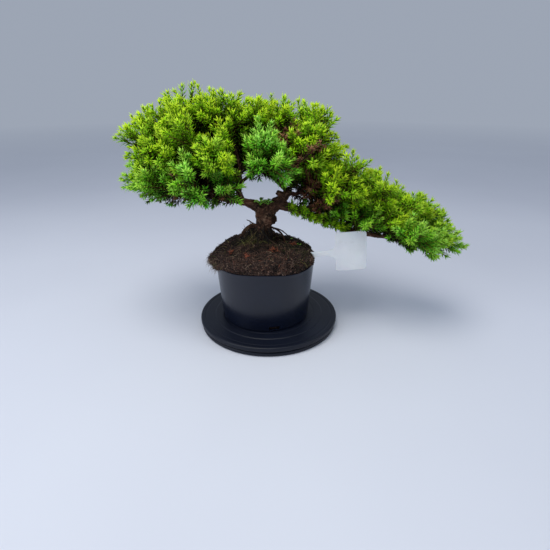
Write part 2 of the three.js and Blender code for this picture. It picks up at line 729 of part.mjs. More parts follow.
// Grows one shoot from a facet (three points, counter-clockwise from outside) along a direction. Its
// facets that point to the tip carry a side shoot, or are set down to be drawn out into needles.
function growShoot(body, facet, start, direction, whorls, stemLength, sideShoots) {
  const { coreRadius, coreTaper, whorlStep, needle, needleLean, tipLean, budLength } = foliage;
  const { points, faces, needles, cores, later } = body;
  const centre = middleOf(facet.map((i) => points[i]));
  const corner = points[facet[0]].clone().add(points[facet[1]]).multiplyScalar(0.5).sub(centre);
  const first = corner.addScaledVector(direction, -corner.dot(direction)).normalize();
  const second = direction.clone().cross(first);
  const hubAt = (distance) => start.clone().addScaledVector(direction, distance);
  const ringAt = (distance, turn, radius) => [0, 1, 2].map((k) => {
    const angle = THREE.MathUtils.degToRad(turn + 120 * k);
    const outward = first.clone().multiplyScalar(Math.cos(angle)).addScaledVector(second, Math.sin(angle));
    points.push(hubAt(distance).addScaledVector(outward, radius));
    return points.length - 1;
  });
  // Closes the band between two rings but for the facets that point to the tip, which it gives back
  const openFacets = (lower, higher) => [0, 1, 2].map((k) => {
    faces.push([lower[(k + 1) % 3], higher[(k + 1) % 3], higher[k]]);
    return [lower[k], lower[(k + 1) % 3], higher[k]];
  });
  let ring = ringAt(stemLength, 0, coreRadius);
  faces.push(...openFacets(facet, ring));
  for (let whorl = 0; whorl < whorls; whorl++) {
    const distance = stemLength + whorl * whorlStep;
    const radius = coreRadius * (1 - coreTaper * ((whorl + 1) / whorls));
    const higher = ringAt(distance + whorlStep, 60 * (whorl + 1), radius);
    openFacets(ring, higher).forEach((face, k) => {
      const foot = middleOf(face.map((i) => points[i]));
      const side = sideShoots.find((shoot) => shoot.whorl === whorl && shoot.facet === k);
      if (side) {
        later.push({ face, foot, direction: side.direction, whorls: side.whorls });
        return;
      }
      const outward = foot.clone().sub(hubAt(distance));
      outward.addScaledVector(direction, -outward.dot(direction)).normalize();
      const nearTip = whorl / Math.max(whorls - 1, 1);
      const lean = THREE.MathUtils.degToRad(needleLean + (tipLean - needleLean) * nearTip ** 3);
      const heading = direction.clone().multiplyScalar(Math.cos(lean))
        .addScaledVector(outward, Math.sin(lean));
      const tip = foot.clone().addScaledVector(heading, needle);
      needles.push({ face, foot, tip, shoot: cores.length });
    });
    ring = higher;
  }
  points.push(hubAt(stemLength + whorls * whorlStep + budLength));
  const bud = points.length - 1;
  for (let k = 0; k < 3; k++) {
    faces.push([ring[k], ring[(k + 1) % 3], bud]);
  }
  cores.push([hubAt(coreRadius), points[bud]]);
}

// Draws needles out of their facets, each only where it stays clear of those before it and of the
// other cores; a facet without room for one stays flat
function drawNeedles(body) {
  const { coreRadius, coreClearance, needleFoot, needleClearance } = foliage;
  const drawn = [];
  for (const { face, foot, tip, shoot } of body.needles) {
    const from = foot.clone().lerp(tip, needleFoot);
    const blocked = drawn.some((other) => stretchDistance(from, tip, other.from, other.tip) < needleClearance)
      || body.cores.some(([a, b], i) =>
        i !== shoot && stretchDistance(from, tip, a, b) < coreRadius + coreClearance);
    if (blocked) {
      body.faces.push(face);
      continue;
    }
    drawn.push({ from, tip });
    body.points.push(tip);
    const last = body.points.length - 1;
    for (let k = 0; k < 3; k++) {
      body.faces.push([face[k], face[(k + 1) % 3], last]);
    }
  }
}

function makeSpray(plan) {
  const { rootRadius, stemLength, mainWhorls, sideStem } = foliage;
  const body = { points: [], faces: [], needles: [], later: [], cores: [] };
  for (let k = 0; k < 3; k++) {
    const angle = THREE.MathUtils.degToRad(120 * k);
    body.points.push(plan.root.clone()
      .addScaledVector(plan.across, rootRadius * Math.cos(angle))
      .addScaledVector(plan.over, rootRadius * Math.sin(angle)));
  }
  body.faces.push([2, 1, 0]);
  growShoot(body, [0, 1, 2], plan.root, plan.direction, mainWhorls, stemLength, plan.sides);
  for (const { face, foot, direction, whorls } of body.later) {
    growShoot(body, face, foot, direction, whorls, sideStem, []);
  }
  drawNeedles(body);
  return indexedGeometry(body.points, body.faces);
}

// Materials

const matt = (color, roughness) => new THREE.MeshStandardMaterial({ color, roughness, metalness: 0 });
const turntablePlastic = matt(0x20242c, 0.45);
const bearingPlastic = matt(0xd8d8d2, 0.4);
const potPlastic = matt(0x23262b, 0.35);
const labelPlastic = matt(0xe9ebee, 0.45);
const bark = matt(0x4a2f20, 0.9);
const peat = matt(0x2e1c13, 1);
const dryNeedles = matt(0x6b3a22, 0.85);
const brightNeedles = matt(0x6fae22, 0.6);
const middleNeedles = matt(0x4c9128, 0.6);
const deepNeedles = matt(0x2f7438, 0.6);

// Foliage is brightest at the top and the outside, and blue-green low, inside and at the back
const light = { middleHeight: 200, height: 130, width: 320, depth: 400, bright: 0.75, even: 0.35 };

function needleMaterial({ dry, tip }) {
  const lit = (tip.z - light.middleHeight) / light.height + Math.abs(tip.x) / light.width
    - Math.max(tip.y, 0) / light.depth;
  if (dry) {
    return dryNeedles;
  }
  if (lit > light.bright) {
    return brightNeedles;
  }
  return lit > light.even ? middleNeedles : deepNeedles;
}

// The object

const bonsai = new THREE.Group();

function place(name, geometry, material) {
  const mesh = new THREE.Mesh(geometry, material);
  mesh.name = name;
  bonsai.add(mesh);
}

place("turntable_base", geometryOf(makeTurntableBase()), turntablePlastic);
place("turntable_top", geometryOf(makeTurntableTop()), turntablePlastic);
place("bearing_ring", geometryOf(makeBearingRing()), bearingPlastic);
place("centre_pin", geometryOf(makeCentrePin()), bearingPlastic);
place("pot", geometryOf(makePot()), potPlastic);
place("root_ball", geometryOf(makeRootBall([...rootHoles(), makeLabel(touchingGap)])), peat);
place("plant_label", geometryOf(makeLabel()), labelPlastic);
place("trunk", geometryOf(makeTrunk()), bark);

planSprays().forEach((plan, i) => {
  const number = String(i + 1).padStart(2, "0");
  place(`${plan.dry ? "dry_spray" : "spray"}_${number}`, makeSpray(plan), needleMaterial(plan));
});

export default bonsai;
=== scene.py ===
"""The looks of a garden juniper bonsai in its nursery pot, on a small turning stand.

Sizes are in millimetres and +Z is up, as in the model that is loaded first. A piece is turned into
metres when it is made.
"""
import itertools
import math

import bpy
import numpy as np
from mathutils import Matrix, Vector
from mathutils.kdtree import KDTree


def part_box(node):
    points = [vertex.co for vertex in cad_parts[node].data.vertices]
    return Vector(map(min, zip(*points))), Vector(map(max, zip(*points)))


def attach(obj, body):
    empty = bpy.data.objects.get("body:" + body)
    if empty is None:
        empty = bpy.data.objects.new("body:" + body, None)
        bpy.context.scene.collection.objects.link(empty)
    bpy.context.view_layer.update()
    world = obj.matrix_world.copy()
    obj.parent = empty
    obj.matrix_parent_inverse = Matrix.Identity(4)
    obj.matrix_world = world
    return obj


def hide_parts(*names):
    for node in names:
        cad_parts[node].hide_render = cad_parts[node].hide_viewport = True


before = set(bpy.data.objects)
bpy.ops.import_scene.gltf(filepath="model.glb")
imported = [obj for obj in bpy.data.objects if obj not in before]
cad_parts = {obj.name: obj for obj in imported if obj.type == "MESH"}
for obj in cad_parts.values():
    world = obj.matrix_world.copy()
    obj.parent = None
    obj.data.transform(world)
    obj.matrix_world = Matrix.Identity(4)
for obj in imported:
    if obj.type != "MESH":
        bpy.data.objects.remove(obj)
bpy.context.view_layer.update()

MM = 0.001
BODY = "turning"
UP = np.array([0.0, 0.0, 1.0])
CROWN_CENTRE = np.array([0.0, 0.0, 200.0])
GOLDEN_ANGLE = math.radians(137.5)

# Stand, pot, soil and label, as in the model. Lists round the compass go in steps of 45 degrees from +X
# by way of the back.
STAND = {"radius": 108.9, "height": 15.0, "platform": 86.0, "rise": 0.8, "slope": 1.2, "edge": 1.5}
BASE = {"radius": 107.3, "thickness": 6.0, "edge": 1.2}
PLATE_GAP = 1.5
POT_X = -4.9
POT = {"foot": 67.7, "rim": 75.0, "nominal_rim": 107.0, "wall": 2.0, "floor": 2.4, "bottom": 16.1}
RIM_HEIGHTS = [107.3, 106, 103, 96, 92.7, 107, 110.8, 106.5]
DRAIN = {"count": 4, "width": 16, "bottom": 18.8, "top": 24.6, "depth": 12, "first": -78}
SOIL_HEIGHTS = [121, 121, 124, 124, 112, 127, 131, 130]
SOIL_RADII = [74, 74, 75, 80, 86, 76, 73, 72]
SOIL_MIDDLE = 138.0
LABEL = {"thickness": 0.9, "tilt": 5.0, "place": (73.0, -25.0, 123.0), "edge": 0.22,
         "bow": 1.2, "bowed": (26.0, 71.0)}
LABEL_STEM = {"left": -34.0, "pointed": -24.0, "share": 0.55, "width": 8.5, "shoulder": 10.0}
LABEL_HEAD = {"left": 25.8, "right": 71.0, "bottom": -29.5, "top": 30.5, "corner": 4.5, "flare": 13.0}

# How many sides round things have
SIDES = {"plate": 160, "base": 192, "pot": 224, "trunk": 14, "branch": 8, "stem": 4, "stalk": 5, "strand": 3}

# Finer forms of the stand and the pot. Grooves in the upper plate: how far in from the edge of the plate or
# of its platform, and how deep. Foot of the pot: inward and up. Rim of the pot: outward and down.
RIM_GROOVE = [(6, 0), (7, 0.35), (8.4, 0.35), (9.4, 0)]
PLATFORM_GROOVE = [(13, 0), (13.6, 0.3), (14.6, 0.3), (15.2, 0)]
POT_FOOT = [(4, 0), (2, 0), (0.8, 0.4)]
RIM_ROLL = [(0.1, 0.9), (-0.15, 0.25), (-1, 0), (-1.85, 0.25), (-2, 1)]

# Triangles of a box, by the order in which the corners of a drain slot come
BOX_FACES = np.array([[0, 1, 3], [0, 3, 2], [4, 6, 7], [4, 7, 5], [0, 4, 5], [0, 5, 1], [2, 3, 7], [2, 7, 6],
                      [0, 2, 6], [0, 6, 4], [1, 5, 7], [1, 7, 3]])

# The trunk, roots and stubs: x, y, z, radius
TRUNK = [
    [-4, 0, 106, 8], [-5, 0, 126, 12], [-6, 0, 137, 10], [-7, 0, 149, 9.5], [-7, 0, 159, 11],
    [-5, 0, 168, 13.5], [-3, 0, 178, 14.5], [-1, 0, 187, 12.5], [0, 0, 194, 8],
]
ROOTS = [
    [[-8, 0, 154, 3.4], [-24, 1, 157, 2.2], [-34, 2, 151, 2], [-40, 4, 138, 1.9], [-47, 6, 118, 1.8]],
    [[-2, 0, 155, 3.6], [7, 1, 149, 2.4], [13, 2, 140, 2.2], [15, 3, 130, 2.1], [17, 4, 116, 2]],
    [[-2, 3, 140, 4], [12, 8, 137, 3], [28, 12, 133, 2.6], [44, 16, 112, 2.2]],
    [[-5, -3, 138, 4.6], [-8, -16, 134, 3.6], [-12, -30, 130, 3], [-18, -44, 118, 2.4]],
    [[-6, 4, 140, 4.6], [-10, 18, 134, 3.4], [-16, 34, 122, 2.8], [-20, 44, 110, 2.2]],
    [[-6, 0, 138, 4.6], [-22, -5, 133, 3.4], [-36, -12, 126, 2.6], [-48, -20, 108, 2]],
    [[-3, -2, 139, 4.4], [9, -11, 134, 3.4], [22, -24, 131, 2.8], [34, -36, 116, 2.2]],
]
STUBS = [
    [[0, -3, 172, 8], [9, -12, 171, 6.5]],
    [[-8, -4, 176, 6], [-13, -12, 178, 4.6]],
    [[20, -2, 205, 4.6], [13, -4, 210, 3.4]],
]


def limb(sprays, start, lift, more_from, cool, line):
    """A limb: how many sprays of the model sit on it, from which share of its length, how much they turn up,
    from which share smaller ones are added, how cool their green is, and its line of x, y, z, radius."""
    return {"sprays": sprays, "from": start, "lift": lift, "more_from": more_from, "cool": cool, "line": line}


LIMBS = {
    "left_limb": limb(3, 0.4, 0.12, 0.3, 0.5, [[-4, 0, 182, 9], [-22, -1, 191, 6.6], [-40, -3, 196.5, 5],
        [-72, -7, 203, 4.2], [-107, -5, 209, 3.4], [-139, 2, 206, 2.6], [-156, 7, 207, 1.9]]),
    "riser": limb(3, 0.6, 0.35, 0.35, 0.1, [[-37, -3, 196, 4], [-41, -1, 214, 3.4], [-39, 0, 240, 3],
        [-45, -1, 273, 2.5], [-49, -5, 290, 2]]),
    "crown_left": limb(3, 0.25, 0.5, 0.15, 0, [[-43, -1, 264, 2.8], [-61, 5, 280, 2.5], [-80, 9, 292, 2.2],
        [-99, 12, 300, 1.8]]),
    "left_rise": limb(4, 0.2, 0.4, 0.15, 0.15, [[-71, -7, 203, 3.6], [-80, -9, 220, 3.2],
        [-96, -11, 235, 2.8], [-124, -16, 248, 2.4], [-144, -21, 256, 2.1], [-152, -20, 260, 1.8]]),
    "far_left": limb(2, 0.5, 0.35, 0.15, 0, [[-122, -16, 247, 2.4], [-132, -4, 261, 2.1],
        [-143, 10, 274, 1.8]]),
    "low_front": limb(2, 0.3, 0.15, 0.15, 0.8, [[-68, -6, 202, 3.2], [-72, -24, 212, 2.6],
        [-80, -42, 219, 2.2], [-88, -54, 223, 1.8]]),
    "low_left": limb(2, 0.4, 0.12, 0.15, 0.6, [[-105, -5, 209, 2.8], [-118, -22, 213, 2.2],
        [-129, -34, 217, 1.8]]),
    "centre_front": limb(2, 0.5, 0.45, 0.15, 0.2, [[-39.5, -1, 232, 2.8], [-54, -20, 246, 2.4],
        [-72, -38, 258, 2.1], [-88, -50, 266, 1.8]]),
    "centre_pad": limb(2, 0.55, 0.35, 0.5, 0.9, [[-40, -1, 222, 2.8], [-28, -8, 232, 2.3],
        [-20, -20, 242, 2], [-12, -34, 250, 1.8]]),
    "right_limb": limb(0, 1, 0, 0.85, 0.5, [[-2, 0, 180, 9.5], [13, -1, 193, 8.4], [23, -1, 202, 6.6],
        [30, 0, 213, 4.8]]),
    "centre_riser": limb(2, 0.45, 0.45, 0.45, 0.2, [[29, 0, 210, 3.8], [18, 1, 220, 3.4], [7, 2, 230, 3.1],
        [-4, 3, 240, 2.8], [-12, 9, 259, 2.4], [-8, 17, 276, 2.1], [4, 24, 287, 1.8]]),
    "centre_back": limb(3, 0.35, 0.4, 0.15, 0.3, [[-4, 3, 240, 2.6], [0, 24, 250, 2.3], [4, 46, 260, 2],
        [6, 62, 268, 1.8]]),
    "right_crown": limb(3, 0.3, 0.5, 0.15, 0.05, [[-2, 3, 238, 2.9], [20, -6, 246, 2.6],
        [42, -14, 260, 2.2], [57, -20, 275, 1.8]]),
    "inner_right": limb(1, 1, 0.3, 0.15, 0.4, [[28, 0, 208, 3.4], [43, 2, 206, 2.8], [54, 6, 217, 2.3],
        [63, 12, 236, 1.8]]),
    "cascade": limb(4, 0.2, 0.25, 0.12, 0.6, [[12, -1, 193, 7.4], [33, -3, 187, 6], [56, -5, 179, 4.8],
        [80, -5, 170, 4.3], [111, -6, 157, 3.8], [139, -8, 150, 3.3], [177, -8, 143, 2.7],
        [215, -6, 138, 2.2], [240, -4, 131, 1.8]]),
    "right_middle": limb(3, 0.25, 0.5, 0.15, 0.05, [[50, -4, 181, 3.6], [64, -12, 193, 3],
        [82, -22, 206, 2.5], [98, -30, 220, 1.8]]),
    "cascade_first": limb(2, 0.3, 0.45, 0.15, 0.2, [[109, -6, 158, 3.2], [124, 0, 170, 2.6],
        [142, 9, 180, 1.8]]),
    "cascade_second": limb(2, 0.4, 0.4, 0.15, 0.2, [[139, -8, 150, 2.8], [158, -12, 164, 2.4],
        [178, -18, 176, 1.8]]),
    "cascade_third": limb(2, 0.4, 0.3, 0.15, 0.4, [[176, -8, 143, 2.5], [196, 4, 150, 2.1],
        [212, 13, 154, 1.8]]),
    "cascade_front": limb(1, 0.3, 0, 0.15, 0.8, [[172, -8, 144, 2.5], [184, -24, 149, 2.1],
        [194, -36, 152, 1.8]]),
    "cascade_back": limb(2, 0.45, 0.35, 0.3, 0.4, [[80, -5, 170, 3], [96, 16, 180, 2.5],
        [110, 38, 188, 2.1], [120, 54, 193, 1.8]]),
    "crown_back": limb(1, 0.5, 0.45, 0.15, 0.2, [[-44, 0, 266, 2.6], [-48, 24, 270, 2.2],
        [-52, 46, 272, 1.8]]),
    "left_back": limb(3, 0.3, 0.35, 0.15, 0.3, [[-76, -7, 203, 3.2], [-86, 16, 212, 2.7],
        [-98, 38, 222, 2.2], [-108, 54, 230, 1.8]]),
}

# Thin branches that only the looks have: where they start they lie in a limb
MORE_LIMBS = {
    "top_middle": limb(0, 1, 0.5, 0.1, 0, [[-10, 13, 267, 2.2], [-20, 7, 283, 1.9], [-25, 0, 297, 1.6]]),
    "top_inner": limb(0, 1, 0.5, 0.1, 0, [[8, -1.5, 241, 2.3], [14, 5, 262, 2], [24, 6, 284, 1.6]]),
    "top_right": limb(0, 1, 0.4, 0.1, 0, [[50, -17, 267, 2], [65, -13, 277, 1.8], [77, -8, 284, 1.5]]),
    "right_back": limb(0, 1, 0.4, 0.1, 0.1, [[30, -9, 252, 2.2], [44, 4, 266, 1.9], [56, 14, 278, 1.6]]),
    "slope_first": limb(0, 1, 0.45, 0.1, 0.1, [[126, 1, 171, 2.2], [140, -3, 188, 1.9],
        [149, -6, 202, 1.6]]),
    "slope_second": limb(0, 1, 0.4, 0.1, 0.15, [[170, -15, 171, 2], [185, -10, 182, 1.8],
        [196, -5, 191, 1.5]]),
    "slope_third": limb(0, 1, 0.4, 0.1, 0.25, [[206, 10, 153, 1.9], [221, 5, 163, 1.7],
        [234, 0, 170, 1.4]]),
    "slope_end": limb(0, 1, 0.35, 0.1, 0.35, [[227, -5, 135, 1.9], [243, -11, 145, 1.6],
        [255, -14, 150, 1.4]]),
    "top_left": limb(0, 1, 0.5, 0.1, 0, [[-90, 10.5, 296, 2], [-107, 4, 298, 1.8], [-122, -4, 299, 1.5]]),
    "left_inner": limb(0, 1, 0.45, 0.1, 0, [[-137, 2, 267.5, 2], [-140, -8, 280, 1.8],
        [-142, -17, 288, 1.5]]),
    "pad_front": limb(0, 1, 0, 0.1, 0.85, [[-22, -17, 240.5, 2], [-14, -30, 243, 1.8],
        [-4, -40, 246, 1.5]]),
    "pad_right": limb(0, 1, 0.05, 0.1, 0.8, [[-15, -29, 247, 2], [0, -32, 248, 1.8], [14, -36, 250, 1.5]]),
    "left_tip": limb(0, 1, 0.2, 0.1, 0.3, [[-150, 5.5, 206.5, 2], [-164, 2, 211, 1.7],
        [-174, -3, 215, 1.4]]),
}
ALL_LIMBS = {**LIMBS, **MORE_LIMBS}

# Dry branches with brown needles, which stay in sight from in front
DRY_BRANCHES = [
    [[20, -6, 245, 2.4], [31, -32, 249, 2.1], [47, -46, 264, 1.9], [65, -54, 280, 1.6]],
    [[45, 1, 207, 2.2], [55, -14, 210, 1.9], [62, -24, 219, 1.8], [66, -28, 229, 1.5]],
    [[56, -6, 180, 2.3], [68, -20, 190, 2], [80, -29, 199, 1.8], [92, -34, 208, 1.5]],
    [[-74, -9, 206, 2.2], [-66, -30, 214, 1.9], [-58, -42, 222, 1.5]],
]

# Thin roots that only the looks have: they arch away from the foot of the trunk
MORE_ROOTS = [
    [[2, -2, 158, 1.7], [13, -4, 154, 1.5], [22, -5, 145, 1.4], [26, -6, 132, 1.3]],
    [[2, 2, 156, 1.3], [18, 4, 151, 1.1], [30, 5, 141, 1], [36, 4, 131, 0.9]],
    [[-9, -2, 157, 1.6], [-22, -6, 163, 1.3], [-34, -9, 157, 1.1], [-41, -10, 145, 1]],
    [[-20, -5, 162, 1.2], [-27, -7, 168, 0.8], [-31, -8, 170, 0.5]],
]

# Wood that can be seen in gaps of the leaves, from in front, and how far off it leaves stay
IN_SIGHT = [
    [[-38, -5, 236, 0], [-44, -5, 274, 0]],
    [[-70, -2, 283, 0], [-99, 2, 294, 0]],
    [[-98, -22, 228, 0], [-80, -18, 221, 0]],
    [[129, -14, 168, 0], [150, -16, 178, 0]],
]
SIGHT_REACH = 7.0
DRY_LIMBS = ["right_crown", "right_middle", "inner_right", "left_rise"]

# The sprays of the model, and how they and the ones between them are set out
SPRAY = {
    "seed": 30, "whorl_step": 6.0, "stem": 9.2, "whorls": 5,
    "sides": [(0, 0, 4), (1, 1, 4), (2, 2, 3), (3, 0, 2)], "side_angle": 44.0, "side_stem": 2.6,
    "side_rise": 0.35, "side_depth": 0.6, "bud": 4.2, "core": 1.1, "root_gap": 0.35, "root_radius": 0.9,
}
SETTING = {"reach": 6.0, "clearance": 0.4, "candidates": 140, "rise": 44.0, "most_room": 60.0,
           "most_over": 16.0, "weight": 0.8}
MORE = {"reach": 1.3, "clearance": 0.3, "candidates": 40, "rise": 20.0, "most_room": 24.0,
        "most_over": 3.0, "weight": 3.0, "every": 5.8, "sizes": [0.9, 0.66, 0.78, 0.6]}
COVER = {"cell": 4.0, "reach": 5.0, "weight": 0.3, "low": (-216.0, 104.0), "shape": (130, 63)}
LAST_SHARE = 0.97
SPACING = 0.9
SLIP = 0.16
PULL = {True: (1.0, 0.25), False: (0.3, 0.9)}
OUTWARD_PULL = 0.3
CHANCE = 0.5
LEAST_AHEAD = 0.75
LEAST_AWAY = 0.6

# Short shoots: all round the limbs, close to one side of two of them, and dead ones on dry branches
TWIGS = {"every": 2.7, "shortest": 12.0, "longest": 23.0, "tries": 12, "over": 12.0, "seen_over": 2.5,
         "bright": 0.2, "size": 0.86}
# The shoots close under the cascade get a high bright value: painted light on shoots that stand in shade.
HUGGING = {
    "cascade": {"from": 0.05, "to": 0.45, "every": 1.0, "shortest": 6.0, "longest": 19.0, "seen_over": 12.0,
                "facing": (0, -0.6, -0.8), "bright": 0.68, "cool": 0.05, "size": 0.76},
    "riser": {"from": 0.04, "to": 0.45, "every": 1.4, "shortest": 8.0, "longest": 17.0, "seen_over": 3.0,
              "facing": (-1, -0.2, 0), "bright": 0.25, "cool": 0.35, "size": 0.76},
}
DRY_TWIGS = {"from": 0.25, "every": 0.03, "shortest": 5, "longest": 11, "bright": 0.6, "size": 0.66}

# The outline that the crown is clipped to: x and z of its top and underside in the middle of its depth, and
# how much both close in for each millimetre to the front and to the back
OUTLINE_SIDES = (-214, 294)
LEFT_END = -211
OUTLINE_TOP = np.array([
    [-214, 225], [-205, 262], [-185, 298], [-160, 314], [-137, 322], [-125, 338], [-104, 349], [-72, 343],
    [-40, 335], [0, 333], [30, 330], [60, 320], [85, 308], [95, 280], [130, 262], [155, 240], [185, 217],
    [212, 213], [240, 196], [262, 165], [296, 122],
], float)
OUTLINE_UNDER = np.array([
    [-214, 207], [-190, 204], [-172, 195], [-150, 184], [-125, 190], [-107, 195], [-94, 182], [-76, 182],
    [-60, 192], [-36, 198], [-30, 222], [-4, 229], [16, 214], [34, 190], [53, 181], [74, 175], [110, 161],
    [148, 150], [181, 141], [191, 120], [213, 120], [226, 112], [256, 112], [275, 118], [296, 120],
], float)
TOP_FALL = (0.25, 0.46)
UNDER_RISE = (0.4, 0.2)

# The open gap under the crown, between the two limbs: a line through it from front to back, and its radius
SKY_GAP = {"front": (-6, -80, 220), "back": (-13, 80, 190), "radius": 18}

# Needles and shoots. The rosette at a shoot's tip is a list of lean in degrees and share of a needle's
# length.
NEEDLE = {"length": 10.6, "width": 2.1, "step": 2.8, "lean": 54.0, "tip_lean": 40.0, "core": 0.8}
ROSETTE = [(16, 0.74), (16, 0.8), (16, 0.7), (38, 0.86), (38, 0.92), (38, 0.84)]
SHOOTS = {"bushy": 4, "bushy_dry": 1, "bushy_more": 3, "longest": 37, "shorter": 14, "lean": (18, 36),
          "most_over": 8}
# Painted shade and light on each needle, by corner (foot, two sides, tip): darker at its foot, lighter at its
# tip
NEEDLE_LIGHT_AND_SHADE = np.array([-0.2, -0.02, -0.02, 0.16])
GREEN_WARM = [(0.0, "23170c"), (0.18, "40370f"), (0.38, "59700c"), (0.58, "76b008"), (0.78, "99d80c"),
              (1.0, "c4ea28")]
GREEN_COOL = [(0.0, "201b0f"), (0.18, "344413"), (0.38, "43841b"), (0.58, "5cbc24"), (0.78, "7fda38"),
              (1.0, "a6ec5c")]
BROWN_DRY = [(0.0, "23130b"), (0.3, "40221a"), (0.55, "683a2c"), (0.8, "86563e"), (1.0, "a07456")]

# Bark: the grid of its skin, the radius from which a limb is part of that skin, the rotted stub in front,
# and up to what height the foot is darker
BARK_VOXEL = 0.85
THIN_LIMB = 3.3
ROT = {"reach": 5.2, "depth": 4.5}
FOOT_DARK = {"height": 152, "fade": 16, "most": 0.85}

# The soil and what lies and grows on it. Roughness: height, size, seed. Moss patches: x, y, half width, half
# depth, strength. Fallen bits of twig: x, y, heading, length. Seedlings: where, how many leaves, their size.
SOIL_GRID = (320, 92)
SOIL_ROUGH = [(1.7, 11, 1), (1.3, 4.6, 2), (0.7, 1.8, 4)]
LABEL_HEAP = {"place": np.array([61.0, -25.0]), "height": 4.5, "spread": 80}
MOSS_PATCHES = [(40, -8, 26, 34, 0.9), (-14, -6, 15, 12, 0.7)]
COUNTS = {"fibres": 1800, "fringe": 500, "crumbs": 5600, "moss": 16000, "fallen": 190, "roots": 290,
          "hanging": (210, 14), "sprigs": 34, "grass": 210}
STEPS = {"fibres": 7, "roots": 8, "grass": 8}
FALLEN_TWIGS = [(18, -43, 2.6, 9), (0, -45, 0.4, 6), (-22, -60, 2.9, 5), (30, -12, 0.3, 7),
                (-55, -42, 1.2, 6)]
SEEDLINGS = [((-11, -7, 192), 6, 8.5), ((0, -9, 193), 5, 7.5), ((34, 22, 128), 4, 3.2),
             ((47, 6, 126), 3, 2.8)]
TONES = {
    "fibres": [(0.0, "1c120d"), (0.35, "3d2a20"), (0.6, "6d5040"), (0.85, "9e846c"), (1.0, "c8b294")],
    "crumbs": [(0.0, "0f0907"), (0.4, "35251e"), (0.7, "6c5144"), (1.0, "a68a78")],
    "moss": [(0.0, "161b08"), (0.4, "2f3d10"), (0.75, "566b1c"), (1.0, "8f9a3a")],
    "fallen_needles": [(0.0, "381c14"), (0.5, "743a28"), (1.0, "b4603e")],
    "fine_roots": [(0.0, "0c0805"), (0.45, "2a1c14"), (0.75, "5a4430"), (1.0, "9c8458")],
    "grass": [(0.0, "25300d"), (0.5, "56631f"), (0.8, "8a8540"), (1.0, "b7a368")],
    "seedling_leaves": [(0.0, "68a82a"), (0.5, "94d63c"), (1.0, "c4f468")],
}

# Camera, in millimetres, radians and pixels; lights, in metres: place, size, power, tint; and background
CAMERA = {"place": (10.215, -580.102, 344.756), "down": 0.431, "focal": 407.0, "frame": 550.0, "sensor": 36.0}
LIGHTS = {
    "overhead": ((-0.2, -0.35, 1.25), 0.8, 8.7, (1.0, 0.98, 0.94)),
    "left_window": ((-1.2, -0.75, 0.75), 0.9, 6.9, (0.86, 0.92, 1.0)),
    "right_window": ((1.25, -0.4, 0.8), 0.8, 2.9, (0.86, 0.92, 1.0)),
}
LIGHT_TARGET = (0, 0, 0.17)
BACKGROUND = (0.56, 0.63, 0.76, 1.0)
BACKGROUND_STRENGTH = 0.6
FLOOR = {"half": 6000.0, "z": -0.2, "fade": (1.0, 4.5)}


def unit(vector):
    return vector / np.sqrt((vector * vector).sum(-1, keepdims=True))


def cross(a, b):
    return np.array([a[1] * b[2] - a[2] * b[1], a[2] * b[0] - a[0] * b[2], a[0] * b[1] - a[1] * b[0]])


def turned(vector, axis, angle):
    c, s = math.cos(angle), math.sin(angle)
    return vector * c + cross(axis, vector) * s + axis * (axis @ vector) * (1 - c)


def stretch_lengths(line):
    """The lengths of the stretches of a line."""
    return np.linalg.norm(np.diff(np.array(line, float)[:, :3], axis=0), axis=1)


# Where the sprays of the model are

def seeded_draws(seed):
    state = seed
    while True:
        state = (state * 1664525 + 1013904223) % 2**32
        yield state / 2**32


def place_along(line, share):
    line = np.array(line, float)
    steps = line[1:, :3] - line[:-1, :3]
    lengths = np.linalg.norm(steps, axis=1)
    left = share * lengths.sum()
    i = 0
    while i < len(lengths) - 1 and left > lengths[i]:
        left -= lengths[i]
        i += 1
    part = min(left / lengths[i], 1)
    here = line[i] * (1 - part) + line[i + 1] * part
    return here[:3], steps[i] / lengths[i], here[3]


def stretch_distances(a, b, c, d):
    """Shortest distances between the stretches a-b and c-d, for arrays of points that broadcast."""
    ab, cd, ca = b - a, d - c, a - c
    abab, cdcd = (ab * ab).sum(-1), (cd * cd).sum(-1)
    abcd, abca, cdca = (ab * cd).sum(-1), (ab * ca).sum(-1), (cd * ca).sum(-1)
    spread = abab * cdcd - abcd * abcd
    slanting = spread > 1e-9
    s = np.where(slanting, (abcd * cdca - cdcd * abca) / np.where(slanting, spread, 1), 0).clip(0, 1)
    t = ((abcd * s + cdca) / cdcd).clip(0, 1)
    s = ((abcd * t - abca) / abab).clip(0, 1)
    return np.linalg.norm(a + ab * s[..., None] - c - cd * t[..., None], axis=-1)


def spray_plan(root, direction, turn, size):
    flat = UP if abs(direction[2]) < 0.9 else np.array([1.0, 0, 0])
    across = turned(unit(cross(flat, direction)), direction, turn)
    over = cross(direction, across)
    step, bud = SPRAY["whorl_step"] * size, SPRAY["bud"] * size
    leaf_start = root + direction * SPRAY["stem"] * size
    tip = leaf_start + direction * (SPRAY["whorls"] * step + bud)
    lean = math.radians(SPRAY["side_angle"])
    sides = []
    for whorl, facet, whorls in SPRAY["sides"]:
        bearing = math.radians(60 + 120 * facet + 60 * (whorl % 2))
        outward = across * math.cos(bearing) + over * math.sin(bearing)
        heading = direction * math.cos(lean) + outward * math.sin(lean)
        foot = leaf_start + direction * step * (whorl + SPRAY["side_rise"])
        foot = foot + outward * SPRAY["core"] * SPRAY["side_depth"]
        sides.append((foot, heading, SPRAY["side_stem"] * size + whorls * step + bud))
    starts = np.array([leaf_start] + [foot for foot, _, _ in sides])
    ends = np.array([tip] + [foot + heading * length for foot, heading, length in sides])
    return {
        "root": root, "direction": direction, "across": across, "over": over, "leaf_start": leaf_start,
        "tip": tip, "sides": sides, "starts": starts, "ends": ends, "middle_ends": (starts + ends) / 2,
        "size": size,
    }


